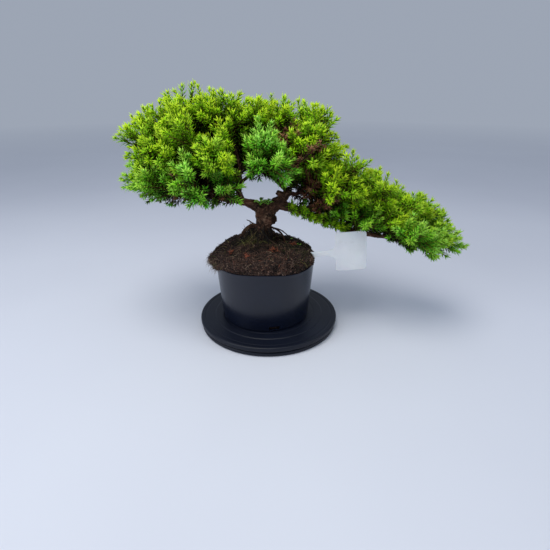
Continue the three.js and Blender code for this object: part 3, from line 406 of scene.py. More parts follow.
def over_outline(ends):
    """How far points stand out over the outline of the crown, at most."""
    x, y, z = ends.T
    top = np.interp(x, *OUTLINE_TOP.T) - np.where(y > 0, TOP_FALL[1], TOP_FALL[0]) * np.abs(y)
    under = np.interp(x, *OUTLINE_UNDER.T) + np.where(y > 0, UNDER_RISE[1], UNDER_RISE[0]) * np.abs(y)
    return max(0, np.max([z - top, under - z, OUTLINE_SIDES[0] - x, x - OUTLINE_SIDES[1]]))


def seen_places(points):
    """Where points are seen from in front, as x and z on the plane through the trunk."""
    place = np.array(CAMERA["place"])
    share = -place[1] / (points[:, 1] - place[1])
    return place[[0, 2]] + (points[:, [0, 2]] - place[[0, 2]]) * share[:, None]


def hides_wood(points):
    """Whether any of the points stands in front of a dry branch or of wood that stays in sight."""
    places = np.insert(seen_places(points), 1, 0, axis=1)[:, None]
    for line in [*(line[1:] for line in DRY_BRANCHES), *IN_SIGHT]:
        line = np.array(line, float)[:, :3]
        flat = np.insert(seen_places(line), 1, 0, axis=1)[None]
        near = stretch_distances(places, places + 1e-3, flat[:, :-1], flat[:, 1:]).min(1)
        if ((near < SIGHT_REACH) & (points[:, 1] < line[:, 1].max())).any():
            return True
    return False


def wanted_cells():
    """The cells of the front view that the crown fills: inside its outline and off the open gap."""
    cell, low = COVER["cell"], COVER["low"]
    x = (low[0] + (np.arange(COVER["shape"][0]) + 0.5) * cell)[:, None]
    z = (low[1] + (np.arange(COVER["shape"][1]) + 0.5) * cell)[None]
    gap = (np.array(SKY_GAP["front"]) + np.array(SKY_GAP["back"])) / 2
    inside = (z < np.interp(x, *OUTLINE_TOP.T)) & (z > np.interp(x, *OUTLINE_UNDER.T))
    return inside & (np.hypot(x - gap[0], z - gap[2]) > SKY_GAP["radius"])


def covered_cells(plan):
    """Numbers of the cells of the front view that the leafy stretches of a spray pass over."""
    t = np.linspace(0, 1, 9)[:, None, None]
    places = seen_places((plan["starts"] * (1 - t) + plan["ends"] * t).reshape(-1, 3))
    reach = COVER["reach"]
    around = np.array([(0, 0), (reach, 0), (-reach, 0), (0, reach), (0, -reach)])
    cells = np.floor((places[:, None] + around - COVER["low"]) / COVER["cell"]).astype(int).reshape(-1, 2)
    width, height = COVER["shape"]
    cells = cells[(cells >= 0).all(1) & (cells[:, 0] < width) & (cells[:, 1] < height)]
    return np.unique(cells[:, 0] * height + cells[:, 1])


def wood_stretches(limbs):
    lines = [np.array(line, float) for line in (TRUNK, *ROOTS, *(limb["line"] for limb in limbs.values()))]
    starts = np.concatenate([line[:-1] for line in lines])
    ends = np.concatenate([line[1:] for line in lines])
    return starts[:, :3], ends[:, :3], np.maximum(starts[:, 3], ends[:, 3])


def is_clear(plan, others, wood, setting):
    reach, gap, core = setting["reach"], setting["clearance"], SPRAY["core"]
    starts, ends = plan["starts"][:, None], plan["ends"][:, None]
    if (stretch_distances(starts, ends, wood[0][None], wood[1][None]) < wood[2] + reach + gap).any():
        return False
    if not others:
        return True
    leafy_starts = np.concatenate([other["starts"] for other in others])
    leafy_ends = np.concatenate([other["ends"] for other in others])
    roots = np.array([other["root"] for other in others])
    stems = np.array([other["leaf_start"] for other in others])
    stem = plan["root"], plan["leaf_start"]
    return not (
        (stretch_distances(starts, ends, leafy_starts[None], leafy_ends[None]) < 2 * reach + gap).any()
        or (stretch_distances(starts, ends, roots[None], stems[None]) < reach + core + gap).any()
        or (stretch_distances(*stem, leafy_starts, leafy_ends) < reach + core + gap).any()
        or (stretch_distances(*stem, roots, stems) < 3 * core).any())


def candidate_spray(limb, share, at_end, size, draw):
    slip = (next(draw) - 0.5) * SLIP
    point, forward, radius = place_along(limb["line"], 1 if at_end else min(share + slip, LAST_SHARE))
    outward = unit(point - CROWN_CENTRE)
    angle = next(draw) * 2 * math.pi
    side = turned(unit(cross(forward, UP)), forward, angle)
    chance = np.array([next(draw) - 0.5 for _ in range(3)])
    turn = next(draw) * 2
    ahead_pull, side_pull = PULL[at_end]
    direction = unit(forward * ahead_pull + side * side_pull + UP * limb["lift"]
                     + outward * OUTWARD_PULL + chance * CHANCE)
    ahead = direction @ forward
    away = math.sqrt(1 - ahead * ahead)
    if (ahead < LEAST_AHEAD) if at_end else (away < LEAST_AWAY):
        return None
    gap, root_radius = SPRAY["root_gap"], SPRAY["root_radius"]
    if at_end:
        offset = (gap + root_radius * away) / ahead
    else:
        offset = (radius + gap + root_radius * abs(ahead)) / away
    return spray_plan(point + direction * offset, direction, turn, size)


def best_spray(slot, plans, wood, setting, draw, keep_out=None, open_cells=None):
    best, best_score = None, -math.inf
    middles = np.array([plan["middle"] for plan in plans]).reshape(-1, 3)
    for _ in range(setting["candidates"]):
        plan = candidate_spray(slot["limb"], slot["share"], slot["at_end"], slot["size"], draw)
        if plan is None:
            continue
        over = over_outline(plan["ends"])
        if over > setting["most_over"] or not is_clear(plan, plans, wood, setting):
            continue
        if keep_out:
            away = stretch_distances(plan["starts"], plan["ends"], *keep_out[:2])
            if (away < keep_out[2]).any() or plan["ends"][:, 0].min() < LEFT_END:
                continue
            if hides_wood(np.concatenate([plan["starts"], plan["middle_ends"], plan["ends"]])):
                continue
        middle = plan["leaf_start"] * 0.4 + plan["tip"] * 0.6
        room = min([setting["most_room"], *np.linalg.norm(middles - middle, axis=1)])
        score = room + setting["rise"] * slot["limb"]["lift"] * plan["direction"][2]
        score -= setting["weight"] * over
        if open_cells is not None:
            score += COVER["weight"] * open_cells[covered_cells(plan)].sum()
        if score > best_score:
            best, best_score = {**plan, **slot, "middle": middle}, score
    return best


def slot_on(name, share, at_end=False, dry=False, size=1):
    return {"name": name, "limb": ALL_LIMBS[name], "share": share, "at_end": at_end, "dry": dry, "size": size}


def tips_first(slots):
    return sorted(slots, key=lambda slot: not slot["at_end"])


def model_slots():
    slots = []
    for name, limb in LIMBS.items():
        count, start = limb["sprays"], limb["from"]
        for i in range(count):
            at_end = i == count - 1
            share = 1 if at_end else start + (1 - start) * i / (count - 1) * SPACING
            slots.append(slot_on(name, share, at_end, i == 0 and name in DRY_LIMBS))
    return tips_first(slots)


def more_slots():
    slots = []
    for name, limb in ALL_LIMBS.items():
        start = limb["more_from"]
        count = max(round(stretch_lengths(limb["line"]).sum() * (1 - start) / MORE["every"]), 1)
        for i in range(count):
            share = start + (1 - start) * (i + 0.5) / count
            slots.append(slot_on(name, share, size=MORE["sizes"][i % len(MORE["sizes"])]))
        if name in MORE_LIMBS:
            slots.append(slot_on(name, 1, at_end=True))
    return tips_first(slots)


def plan_sprays():
    """The sprays of the model, and the smaller ones that are added between them."""
    wood = wood_stretches(LIMBS)
    draw = seeded_draws(SPRAY["seed"])
    plans = []
    for slot in model_slots():
        best = best_spray(slot, plans, wood, SETTING, draw)
        if best:
            plans.append(best)
    count = len(plans)
    open_cells = wanted_cells().ravel()
    for plan in plans:
        open_cells[covered_cells(plan)] = False
    wood = wood_stretches(ALL_LIMBS)
    for slot in more_slots():
        best = best_spray(slot, plans, wood, MORE, draw, sky_gap(), open_cells)
        if best:
            plans.append(best)
            open_cells[covered_cells(best)] = False
    return plans[:count], plans[count:]


def sky_gap():
    return np.array(SKY_GAP["front"], float), np.array(SKY_GAP["back"], float), SKY_GAP["radius"]


def seen_over(point):
    """How far a point is seen outside the outline of the crown, from in front."""
    x, z = seen_places(point[None])[0]
    return max(z - np.interp(x, *OUTLINE_TOP.T), np.interp(x, *OUTLINE_UNDER.T) - z)


def limb_twigs(limb, rng, start, stop, kind):
    """Single short shoots that stand close along a limb: start, direction, length and radius of the limb."""
    length = stretch_lengths(limb["line"]).sum() * (stop - start)
    near, far, width = sky_gap()
    found = []
    for i in range(round(length / kind["every"])):
        for _ in range(TWIGS["tries"]):
            share = start + (stop - start) * (i + rng.random()) * kind["every"] / length
            point, forward, radius = place_along(limb["line"], min(share, 1))
            side = turned(unit(cross(forward, UP)), forward, rng.uniform(0, 2 * math.pi))
            if "facing" in kind and side @ kind["facing"] < 0:
                continue
            way = unit(forward * rng.uniform(0.3, 0.9) + side + UP * limb["lift"] * 0.5)
            reach = rng.uniform(kind["shortest"], kind["longest"])
            end = point + way * reach
            if seen_over(end) > kind["seen_over"] or stretch_distances(point, end, near, far) < width - 4:
                continue
            if over_outline(end[None]) < TWIGS["over"] and not hides_wood(end[None]):
                found.append((point, way, reach, radius))
                break
    return found


def dry_twigs(line, rng):
    """Short dead shoots all round a dry branch."""
    found = []
    for share in np.arange(DRY_TWIGS["from"], 1, DRY_TWIGS["every"]):
        point, forward, radius = place_along(line, share)
        side = turned(unit(cross(forward, UP)), forward, rng.uniform(0, 2 * math.pi))
        way = unit(forward * rng.uniform(0.6, 1.4) + side)
        found.append((point, way, rng.uniform(DRY_TWIGS["shortest"], DRY_TWIGS["longest"]), radius))
    return found


# Meshes

def new_object(name, points, faces):
    """A mesh object in the scene, from points in millimetres and faces."""
    mesh = bpy.data.meshes.new(name)
    mesh.from_pydata((np.asarray(points) * MM).tolist(), [], np.asarray(faces).tolist())
    made = bpy.data.objects.new(name, mesh)
    bpy.context.scene.collection.objects.link(made)
    return made


def bake(piece):
    """Turns an object's modifiers into its mesh."""
    piece.data = bpy.data.meshes.new_from_object(piece.evaluated_get(bpy.context.evaluated_depsgraph_get()))
    piece.modifiers.clear()


def make_piece(name, points, triangles, material, body=BODY, **attributes):
    """A mesh object that moves with a body, from points in millimetres and triangles."""
    piece = new_object(name, points, triangles)
    for key, values in attributes.items():
        attribute = piece.data.attributes.new(key, "FLOAT", "POINT")
        attribute.data.foreach_set("value", np.asarray(values, np.float32))
    piece.data.shade_smooth()
    piece.data.materials.append(material)
    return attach(piece, body)


def joined(parts):
    """One list of points, triangles and point values out of several."""
    offsets = np.cumsum([0] + [len(part[0]) for part in parts[:-1]])
    points = np.concatenate([part[0] for part in parts])
    triangles = np.concatenate([part[1] + offset for part, offset in zip(parts, offsets)])
    values = [np.concatenate(columns) for columns in zip(*(part[2:] for part in parts))]
    return (points, triangles, *values)


def lattice_noise(points, seed=0):
    """Smooth noise between -1 and 1, with about one wave to a unit."""
    cell = np.floor(points).astype(np.int64)
    part = points - cell
    part = part * part * (3 - 2 * part)
    total = np.zeros(len(points))
    for corner in itertools.product((0, 1), repeat=3):
        c = cell + np.array(corner)
        mixed = c[:, 0] * 73856093 ^ c[:, 1] * 19349663 ^ c[:, 2] * 83492791 ^ (seed * 668265263)
        mixed = ((mixed ^ (mixed >> 13)) * 1274126177) & 0xFFFFFFFF
        mixed = mixed ^ (mixed >> 16)
        weight = np.where(np.array(corner), part, 1 - part).prod(axis=1)
        total += weight * ((mixed & 0xFFFF) / 32767.5 - 1)
    return total


def smooth_between(before, a, b, after, t):
    """The place at share t between a and b on a smooth curve that also passes the points beside them."""
    return 0.5 * (2 * a + (b - before) * t + (2 * before - 5 * a + 4 * b - after) * t**2
                  + (3 * a - before - 3 * b + after) * t**3)


def smooth_line(line, step=2.0):
    """Points about a step apart on a smooth curve through a line of [x, y, z, radius]."""
    line = np.array(line, float)
    padded = np.concatenate([[2 * line[0] - line[1]], line, [2 * line[-1] - line[-2]]])
    curve = []
    for before, a, b, after in zip(padded, padded[1:], padded[2:], padded[3:]):
        count = max(int(np.linalg.norm(b[:3] - a[:3]) / step + 0.5), 1)
        curve.append(smooth_between(before, a, b, after, (np.arange(count) / count)[:, None]))
    return np.concatenate([*curve, [line[-1]]])


def length_along(line):
    """How far along a line each of its points is."""
    return np.concatenate([[0], stretch_lengths(line).cumsum()])


def circle(sides):
    return np.arange(sides) / sides * 2 * math.pi


def polar(radius, angle, z, x=POT_X):
    """Points round an upright axis, which is the pot's unless another x is given."""
    return np.stack([radius * np.cos(angle) + x, radius * np.sin(angle), z], -1)


def curve_frames(points):
    """The way forward and two directions across it at each point of a curve, without twist."""
    forward = unit(np.gradient(points, axis=0))
    side = np.array([0.0, 1, 0]) if abs(forward[0, 1]) < 0.9 else np.array([1.0, 0, 0])
    sides = []
    for way in forward:
        side = unit(side - way * (side @ way))
        sides.append(side)
    sides = np.array(sides)
    return forward, sides, np.cross(forward, sides)


def ring_faces(rings, sides):
    """Triangles between rings of points that follow one another."""
    k = np.arange(sides)
    nxt = (k + 1) % sides
    faces = []
    for low in range(0, (rings - 1) * sides, sides):
        high = low + sides
        faces += [np.stack([low + k, low + nxt, high + nxt], 1), np.stack([low + k, high + nxt, high + k], 1)]
    return np.concatenate(faces)


def closed_faces(rings, sides):
    """Triangles of a skin of rings, closed by two points that come after them: the first and the last end."""
    k = np.arange(sides)
    nxt = (k + 1) % sides
    first, top = rings * sides, (rings - 1) * sides
    return np.concatenate([ring_faces(rings, sides), np.stack([np.full(sides, first), nxt, k], 1),
                           np.stack([np.full(sides, first + 1), top + k, top + nxt], 1)])


def tube(curve, sides):
    """A closed tube along points of [x, y, z, radius]. Gives points, triangles and length along it."""
    _, u, v = curve_frames(curve[:, :3])
    angle = circle(sides)[None, :, None]
    radius = curve[:, 3][:, None, None]
    rings = curve[:, None, :3] + radius * (u[:, None] * np.cos(angle) + v[:, None] * np.sin(angle))
    points = np.concatenate([rings.reshape(-1, 3), curve[[0, -1], :3]])
    length = length_along(curve)
    along = np.concatenate([np.repeat(length, sides), length[[0, -1]]])
    return points, closed_faces(len(curve), sides), along


def needles(base, heading, upper, length, width, curl=0.08):
    """Slim awl-shaped needles, flat above and keeled below, each a closed body of four triangles."""
    heading = unit(heading)
    side = unit(np.cross(heading, upper))
    upper = np.cross(side, heading)
    length, width = np.asarray(length)[:, None], np.asarray(width)[:, None]
    belly = base + heading * length * 0.4 + upper * width * 0.3
    tip = base + heading * length + upper * length * curl
    points = np.stack([base, belly - side * width / 2, belly + side * width / 2, tip], 1)
    pattern = np.array([[0, 2, 1], [3, 1, 2], [0, 1, 3], [0, 3, 2]])
    triangles = pattern[None] + 4 * np.arange(len(base))[:, None, None]
    return points.reshape(-1, 3), triangles.reshape(-1, 3)


def strands(paths, radius, tone):
    """Thin threads, all with the same number of points: points, triangles, and the tone of each point."""
    sides = SIDES["strand"]
    count, steps, _ = paths.shape
    forward = unit(np.gradient(paths, axis=1) + 1e-9)
    u = unit(np.cross(forward, np.array([0.31, 0.47, 0.83])))
    v = np.cross(forward, u)
    angle = circle(sides)[:, None]
    taper = (1 - 0.7 * (np.arange(steps) / (steps - 1)) ** 2)[None, :, None, None]
    ring = u[:, :, None] * np.cos(angle) + v[:, :, None] * np.sin(angle)
    points = paths[:, :, None] + ring * radius[:, None, None, None] * taper
    caps = np.array([[2, 1, 0], [steps * sides - 3, steps * sides - 2, steps * sides - 1]])
    pattern = np.concatenate([ring_faces(steps, sides), caps])
    triangles = pattern[None] + (steps * sides) * np.arange(count)[:, None, None]
    return points.reshape(-1, 3), triangles.reshape(-1, 3), np.repeat(tone, steps * sides)


# Materials

def new_material(name):
    material = bpy.data.materials.new(name)
    material.use_nodes = True
    tree = material.node_tree
    return material, tree, tree.nodes["Principled BSDF"]


def node(tree, kind, **values):
    made = tree.nodes.new(kind)
    for key, value in values.items():
        if hasattr(made, key):
            setattr(made, key, value)
        else:
            made.inputs[key.replace("_", " ")].default_value = value
    return made


def set_surface(tree, shader, base, **values):
    """Links a colour to a shader and sets its other inputs."""
    tree.links.new(base, shader.inputs["Base Color"])
    for key, value in values.items():
        shader.inputs[key.replace("_", " ")].default_value = value


def colour(hex_text):
    """A linear colour from the way it looks on a screen."""
    parts = [int(hex_text[i:i + 2], 16) / 255 for i in (0, 2, 4)]
    return tuple(p / 12.92 if p <= 0.04045 else ((p + 0.055) / 1.055) ** 2.4 for p in parts) + (1.0,)


def ramp(tree, factor, stops):
    made = node(tree, "ShaderNodeValToRGB")
    elements = made.color_ramp.elements
    while len(elements) < len(stops):
        elements.new(0.5)
    for element, (place, hex_text) in zip(elements, stops):
        element.position = place
        element.color = colour(hex_text)
    tree.links.new(factor, made.inputs["Fac"])
    return made.outputs["Color"]


def mixed(tree, factor, a, b, kind="MIX"):
    made = node(tree, "ShaderNodeMix", data_type="RGBA", blend_type=kind)
    for socket, value in ((made.inputs[0], factor), (made.inputs[6], a), (made.inputs[7], b)):
        if isinstance(value, (int, float, tuple)):
            socket.default_value = value
        else:
            tree.links.new(value, socket)
    return made.outputs[2]


def noise_of(tree, scale, detail=4.0, roughness=0.55):
    made = node(tree, "ShaderNodeTexNoise", Scale=scale, Detail=detail, Roughness=roughness)
    tree.links.new(node(tree, "ShaderNodeTexCoord").outputs["Object"], made.inputs["Vector"])
    return made.outputs["Fac"]


def attribute_of(tree, name):
    return node(tree, "ShaderNodeAttribute", attribute_name=name).outputs["Fac"]


def spread(tree, value, low, high, to_low=0.0, to_high=1.0):
    made = node(tree, "ShaderNodeMapRange", From_Min=low, From_Max=high, To_Min=to_low, To_Max=to_high)
    tree.links.new(value, made.inputs["Value"])
    return made.outputs["Result"]


def add_bump(tree, shader, height, strength, distance):
    made = node(tree, "ShaderNodeBump", Strength=strength, Distance=distance)
    tree.links.new(height, made.inputs["Height"])
    tree.links.new(made.outputs["Normal"], shader.inputs["Normal"])


def needle_material(name, warm_stops, cool_stops, gloss):
    """Green from the old inside of a shoot to its new tip, along one of two scales, by a value that also
    carries painted light and shade.
    """
    material, tree, shader = new_material(name)
    fresh = attribute_of(tree, "fresh")
    warm, cool = ramp(tree, fresh, warm_stops), ramp(tree, fresh, cool_stops)
    green = mixed(tree, attribute_of(tree, "cool"), warm, cool)
    patchy = spread(tree, noise_of(tree, 90.0), 0.3, 0.7, 0.75, 1.2)
    green = mixed(tree, 1.0, green, patchy, "MULTIPLY")
    wood = ramp(tree, fresh, [(0.0, "2e1c12"), (0.45, "5b4020"), (0.8, "7d8a2e"), (1.0, "8fae35")])
    set_surface(tree, shader, mixed(tree, attribute_of(tree, "stem"), green, wood), Roughness=gloss,
                Specular_IOR_Level=0.12, Subsurface_Weight=0.1, Subsurface_Radius=(0.5, 1.0, 0.2),
                Subsurface_Scale=0.001)
    return material


def bark_material():
    material, tree, shader = new_material("bark")
    flakes = ramp(tree, attribute_of(tree, "ridge"), [(0.1, "090604"), (0.35, "1d120c"), (0.55, "3a271b"),
                                                      (0.75, "644836"), (0.95, "94745d")])
    patches = ramp(tree, noise_of(tree, 75.0, 6.0, 0.65),
                   [(0.36, "1c150e"), (0.5, "42291c"), (0.64, "6a4331")])
    base = mixed(tree, attribute_of(tree, "damp"), mixed(tree, 0.45, flakes, patches), colour("150e09"))
    set_surface(tree, shader, base, Roughness=0.9, Specular_IOR_Level=0.25)
    add_bump(tree, shader, noise_of(tree, 700.0, 6.0, 0.7), 0.6, 0.0006)
    return material


def soil_material():
    material, tree, shader = new_material("peat")
    grains = ramp(tree, noise_of(tree, 420.0, 6.0, 0.7),
                  [(0.3, "0a0605"), (0.46, "211511"), (0.58, "473228"), (0.72, "8c6c5c")])
    green = ramp(tree, noise_of(tree, 260.0, 5.0, 0.7), [(0.35, "12150a"), (0.6, "2b3512"), (0.8, "4d5a1c")])
    mossy = mixed(tree, attribute_of(tree, "moss"), grains, green)
    # Painted shade and light: the colour darkens where the rough soil dips and lightens on its high spots.
    painted_hollow_shade = spread(tree, attribute_of(tree, "height"), 0.15, 0.85, 0.15, 1.6)
    set_surface(tree, shader, mixed(tree, 1.0, mossy, painted_hollow_shade, "MULTIPLY"), Roughness=0.95,
                Specular_IOR_Level=0.2)
    add_bump(tree, shader, noise_of(tree, 1100.0, 6.0, 0.75), 0.9, 0.0008)
    return material


def tone_material(name, roughness=0.8):
    """Small loose things whose colour runs along one scale, by their own tone."""
    material, tree, shader = new_material(name)
    base = ramp(tree, attribute_of(tree, "tone"), TONES[name])
    patchy = spread(tree, noise_of(tree, 600.0), 0.3, 0.7, 0.8, 1.15)
    set_surface(tree, shader, mixed(tree, 1.0, base, patchy, "MULTIPLY"), Roughness=roughness)
    return material


def plastic_material(name, hex_text, dust_text, roughness, dust, grain, shine=0.5):
    """Moulded plastic with a fine grain, faint handling marks and a little dust."""
    material, tree, shader = new_material(name)
    clouds = spread(tree, noise_of(tree, 22.0, 5.0), 0.45, 0.75, 0.0, dust)
    specks = spread(tree, noise_of(tree, 900.0, 2.0), 0.66, 0.78, 0.0, dust * 2)
    base = mixed(tree, clouds, colour(hex_text), colour(dust_text))
    set_surface(tree, shader, mixed(tree, specks, base, colour(dust_text)), Specular_IOR_Level=shine)
    marks = spread(tree, noise_of(tree, 45.0, 6.0, 0.7), 0.3, 0.7, roughness * 0.95, roughness * 1.06)
    tree.links.new(marks, shader.inputs["Roughness"])
    add_bump(tree, shader, noise_of(tree, 2500.0, 3.0), grain, 0.0002)
    return material


# The finer sprays

def shoot_curve(start, direction, length, bend, step=4.0):
    """Points along a shoot that starts in one direction and bends towards another."""
    t = np.linspace(0, 1, max(int(length / step), 3) + 1)[:, None]
    return start + (direction * t + bend * t * t) * length


def dress_shoot(curve, bare, rng, size):
    """Needles in threes round one shoot, from a bare stretch on. Gives rows for needles() with how far
    along each stands, and the stem."""
    length = length_along(curve)
    forward, u, v = curve_frames(curve)
    total = length[-1]
    places = np.arange(bare, total - 0.5, NEEDLE["step"] * rng.uniform(0.9, 1.1))
    if len(places) < 2:
        places = np.array([total * 0.5, total * 0.85])
    whorl = np.arange(len(places))
    angle = rng.random() * 6 + whorl[:, None] * math.radians(60) + np.arange(3) * math.radians(120)
    share = np.repeat(places / total, 3)
    lean = NEEDLE["lean"] + (NEEDLE["tip_lean"] - NEEDLE["lean"]) * share**4
    reach = 1 - 0.14 * share**5
    tips = len(ROSETTE)
    places = np.concatenate([np.repeat(places, 3), np.full(tips, total - 0.3)])
    angle = np.concatenate([angle.ravel(), rng.random() * 6 + np.arange(tips) * math.radians(150)])
    lean = np.radians(np.concatenate([lean, [degrees for degrees, _ in ROSETTE]]))
    reach = np.concatenate([reach, [part for _, part in ROSETTE]])
    share = np.concatenate([share, np.ones(tips)])
    angle = (angle + rng.normal(0, 0.16, angle.shape))[:, None]
    lean = (lean + rng.normal(0, 0.09, lean.shape))[:, None]
    centre, ahead, first, second = (
        np.stack([np.interp(places, length, values[:, k]) for k in range(3)], 1)
        for values in (curve, forward, u, v))
    outward = first * np.cos(angle) + second * np.sin(angle)
    heading = ahead * np.cos(lean) + outward * np.sin(lean)
    reach = reach * NEEDLE["length"] * size * rng.uniform(0.85, 1.1, len(reach))
    width = np.full(len(reach), NEEDLE["width"] * (0.6 + 0.4 * size))
    stem = np.concatenate([curve, (NEEDLE["core"] * (1.15 - 0.7 * length / total))[:, None]], 1)
    rows = (centre + outward * NEEDLE["core"] * 0.4, heading, ahead - outward * 0.4, reach, width)
    return rows, share, stem


def spray_shoots(plan, rng, bushy):
    """The shoots of one spray: its own axis and side shoots, and smaller ones between them."""
    direction, across, over, size = plan["direction"], plan["across"], plan["over"], plan["size"]
    upward = UP * (0.12 + 0.4 * max(plan["limb"]["lift"], 0))
    root = plan["root"] - direction * 2.5
    main_length = np.linalg.norm(plan["tip"] - root)
    shoots = [(shoot_curve(root, direction, main_length, np.zeros(3)), 5.0 * size, 1.0)]

    def outward_at(bearing):
        return across * math.cos(bearing) + over * math.sin(bearing)

    def add_offshoot(curve, heading, length):
        way = unit(heading + outward_at(rng.uniform(0, 2 * math.pi)) * 0.55 + upward)
        shoots.append((shoot_curve(curve[len(curve) // 2], way, length, upward * 0.4), 1.0, 0.88))

    for foot, heading, length in plan["sides"]:
        shoots.append((shoot_curve(foot, heading, length, direction * 0.12 + upward * 0.2), 1.5, 1.0))
    for i, (_, heading, length) in enumerate(plan["sides"][:bushy // 2]):
        add_offshoot(shoots[i + 1][0], heading, rng.uniform(0.45, 0.6) * length)
    for i in range(bushy):
        share = (i + 0.5 + rng.uniform(-0.3, 0.3)) / bushy
        outward = outward_at(i * GOLDEN_ANGLE + rng.uniform(-0.3, 0.3))
        lean = math.radians(rng.uniform(*SHOOTS["lean"]))
        heading = direction * math.cos(lean) + outward * math.sin(lean)
        length = rng.uniform(0.85, 1.15) * (SHOOTS["longest"] - SHOOTS["shorter"] * share) * size
        foot = root + direction * (main_length * (0.1 + 0.62 * share))
        curve = shoot_curve(foot, heading, length, (direction * 0.3 + upward) * 0.5)
        shoots.append((curve, 1.5, 0.98))
        if i % 2 == 0:
            add_offshoot(curve, heading, rng.uniform(0.5, 0.65) * length)
    return shoots


def outer_light(point):
    """How much light a place in the crown gets, from 0 to 1: most under its top and in front."""
    x, y, z = point
    depth = np.interp(x, *OUTLINE_TOP.T) - z
    return 0.6 * np.clip(1 - depth / 135, 0, 1) + 0.4 * np.clip(0.4 - y / 100, 0, 1)


def grow_shoot(curve, bare, rng, size, bright, cool):
    """One shoot with its needles as points, triangles and point values: how new and how lit the green is
    (with painted light and shade), how cool, and stem.
    """
    rows, share, stem = dress_shoot(curve, bare, rng, size)
    points, triangles = needles(*rows)
    # Painted light and shade: bright brings in the light the shoot gets, the needle tones paint shade at the
    # foot of each needle and light at its tip, and the rise along the shoot is partly its new growth and
    # partly painted shade on its inner part.
    fresh = bright + 0.8 * (share[:, None] - 0.66) + NEEDLE_LIGHT_AND_SHADE
    fresh = (fresh + rng.normal(0, 0.05, len(share))[:, None]).ravel()
    stem_points, stem_triangles, along = tube(stem, SIDES["stem"])
    stem_fresh = np.clip(bright - 0.4 + 0.7 * along / along.max(), 0, 1)
    cool = np.clip(cool, 0, 1)
    return joined([
        (points, triangles, fresh, np.full(len(points), cool), np.zeros(len(points))),
        (stem_points, stem_triangles, stem_fresh, np.full(len(stem_points), cool), np.ones(len(stem_points))),
    ])


def grow_spray(plan, rng, bushy):
    parts = []
    light = outer_light(plan["tip"]) - 0.5
    for i, (curve, bare, size) in enumerate(spray_shoots(plan, rng, bushy)):
        past = over_outline(curve[-1:]) > SHOOTS["most_over"] or curve[-1, 0] < LEFT_END
        if i > len(plan["sides"]) and (past or hides_wood(curve[::2])):
            continue
        # Painted light and shade: a shoot is lighter where outer_light is high and where its end stands above
        # the middle of its spray, and its green is cooler where it is less lit.
        height = (curve[-1] - plan["middle"]) @ unit(plan["direction"] + UP * 0.6)
        bright = 0.43 + 0.24 * light + height / 52 + rng.normal(0, 0.09)
        cool = plan["limb"]["cool"] + rng.normal(0, 0.15) - 0.25 * light
        parts.append(grow_shoot(curve, bare, rng, size, bright, cool))
    return joined(parts)


def grow_twigs(twigs, rng, kind, cool):
    parts = []
    for point, way, length, radius in twigs:
        light = outer_light(point + way * length) - 0.5
        curve = shoot_curve(point, way, length, UP * 0.12)
        # Painted light and shade: lighter where outer_light is high, with a cooler green where it is low.
        bright = kind["bright"] + 0.4 * light + rng.normal(0, 0.1)
        tint = cool - 0.2 * light + rng.normal(0, 0.2)
        parts.append(grow_shoot(curve, radius + 0.8, rng, kind["size"], bright, tint))
    return joined(parts)


def make_leafy(name, grown, material):
    points, triangles, fresh, cool, stem = grown
    return make_piece(name, points, triangles, material, fresh=fresh, cool=cool, stem=stem)


def make_foliage():
    green = needle_material("green_needles", GREEN_WARM, GREEN_COOL, 0.55)
    dry = needle_material("dry_needles", BROWN_DRY, BROWN_DRY, 0.8)
    rng = np.random.default_rng(11)
    main, extra = plan_sprays()
    for i, plan in enumerate(main):
        cad_name = f"dry_spray_{i + 1:02d}" if plan["dry"] else f"spray_{i + 1:02d}"
        low, high = (np.array(corner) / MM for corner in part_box(cad_name))
        if np.any(plan["tip"] < low - 1) or np.any(plan["tip"] > high + 1):
            raise ValueError(f"{cad_name} isn't where the model has it")
        bushy = SHOOTS["bushy_dry"] if plan["dry"] else SHOOTS["bushy"]
        piece = make_leafy(f"leafy_{cad_name}", grow_spray(plan, rng, bushy), dry if plan["dry"] else green)
        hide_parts(cad_name)
    for name, limb in ALL_LIMBS.items():
        grown = [grow_spray(plan, rng, SHOOTS["bushy_more"]) for plan in extra if plan["name"] == name]
        twigs = limb_twigs(limb, rng, limb["more_from"] * 0.85, 1, TWIGS)
        grown.append(grow_twigs(twigs, rng, TWIGS, limb["cool"]))
        if name in HUGGING:
            kind = HUGGING[name]
            twigs = limb_twigs(limb, rng, kind["from"], kind["to"], kind)
            grown.append(grow_twigs(twigs, rng, kind, kind["cool"]))
        piece = make_leafy(f"more_sprays_{name}", joined(grown), green)
    grown = [grow_twigs(dry_twigs(line, rng), rng, DRY_TWIGS, 0) for line in DRY_BRANCHES]
    piece = make_leafy("dry_twigs", joined(grown), dry)


# Wood

def remeshed(points, triangles, voxel):
    """One skin round overlapping tubes."""
    rough = new_object("rough", points, triangles)
    modifier = rough.modifiers.new("skin", "REMESH")
    modifier.mode = "VOXEL"
    modifier.voxel_size = voxel * MM
    smoothing = rough.modifiers.new("smooth", "SMOOTH")
    smoothing.factor = 0.5
    smoothing.iterations = 4
    bake(rough)
    skin = rough.data
    skin.calc_loop_triangles()
    out = np.zeros(len(skin.vertices) * 3)
    skin.vertices.foreach_get("co", out)
    faces = np.zeros(len(skin.loop_triangles) * 3, int)
    skin.loop_triangles.foreach_get("vertices", faces)
    bpy.data.objects.remove(rough)
    return out.reshape(-1, 3) / MM, faces.reshape(-1, 3)


def vertex_normals(points, triangles):
    a, b, c = (points[triangles[:, k]] for k in range(3))
    face = np.cross(b - a, c - a)
    total = np.zeros_like(points)
    for k in range(3):
        np.add.at(total, triangles[:, k], face)
    return unit(total + 1e-12)


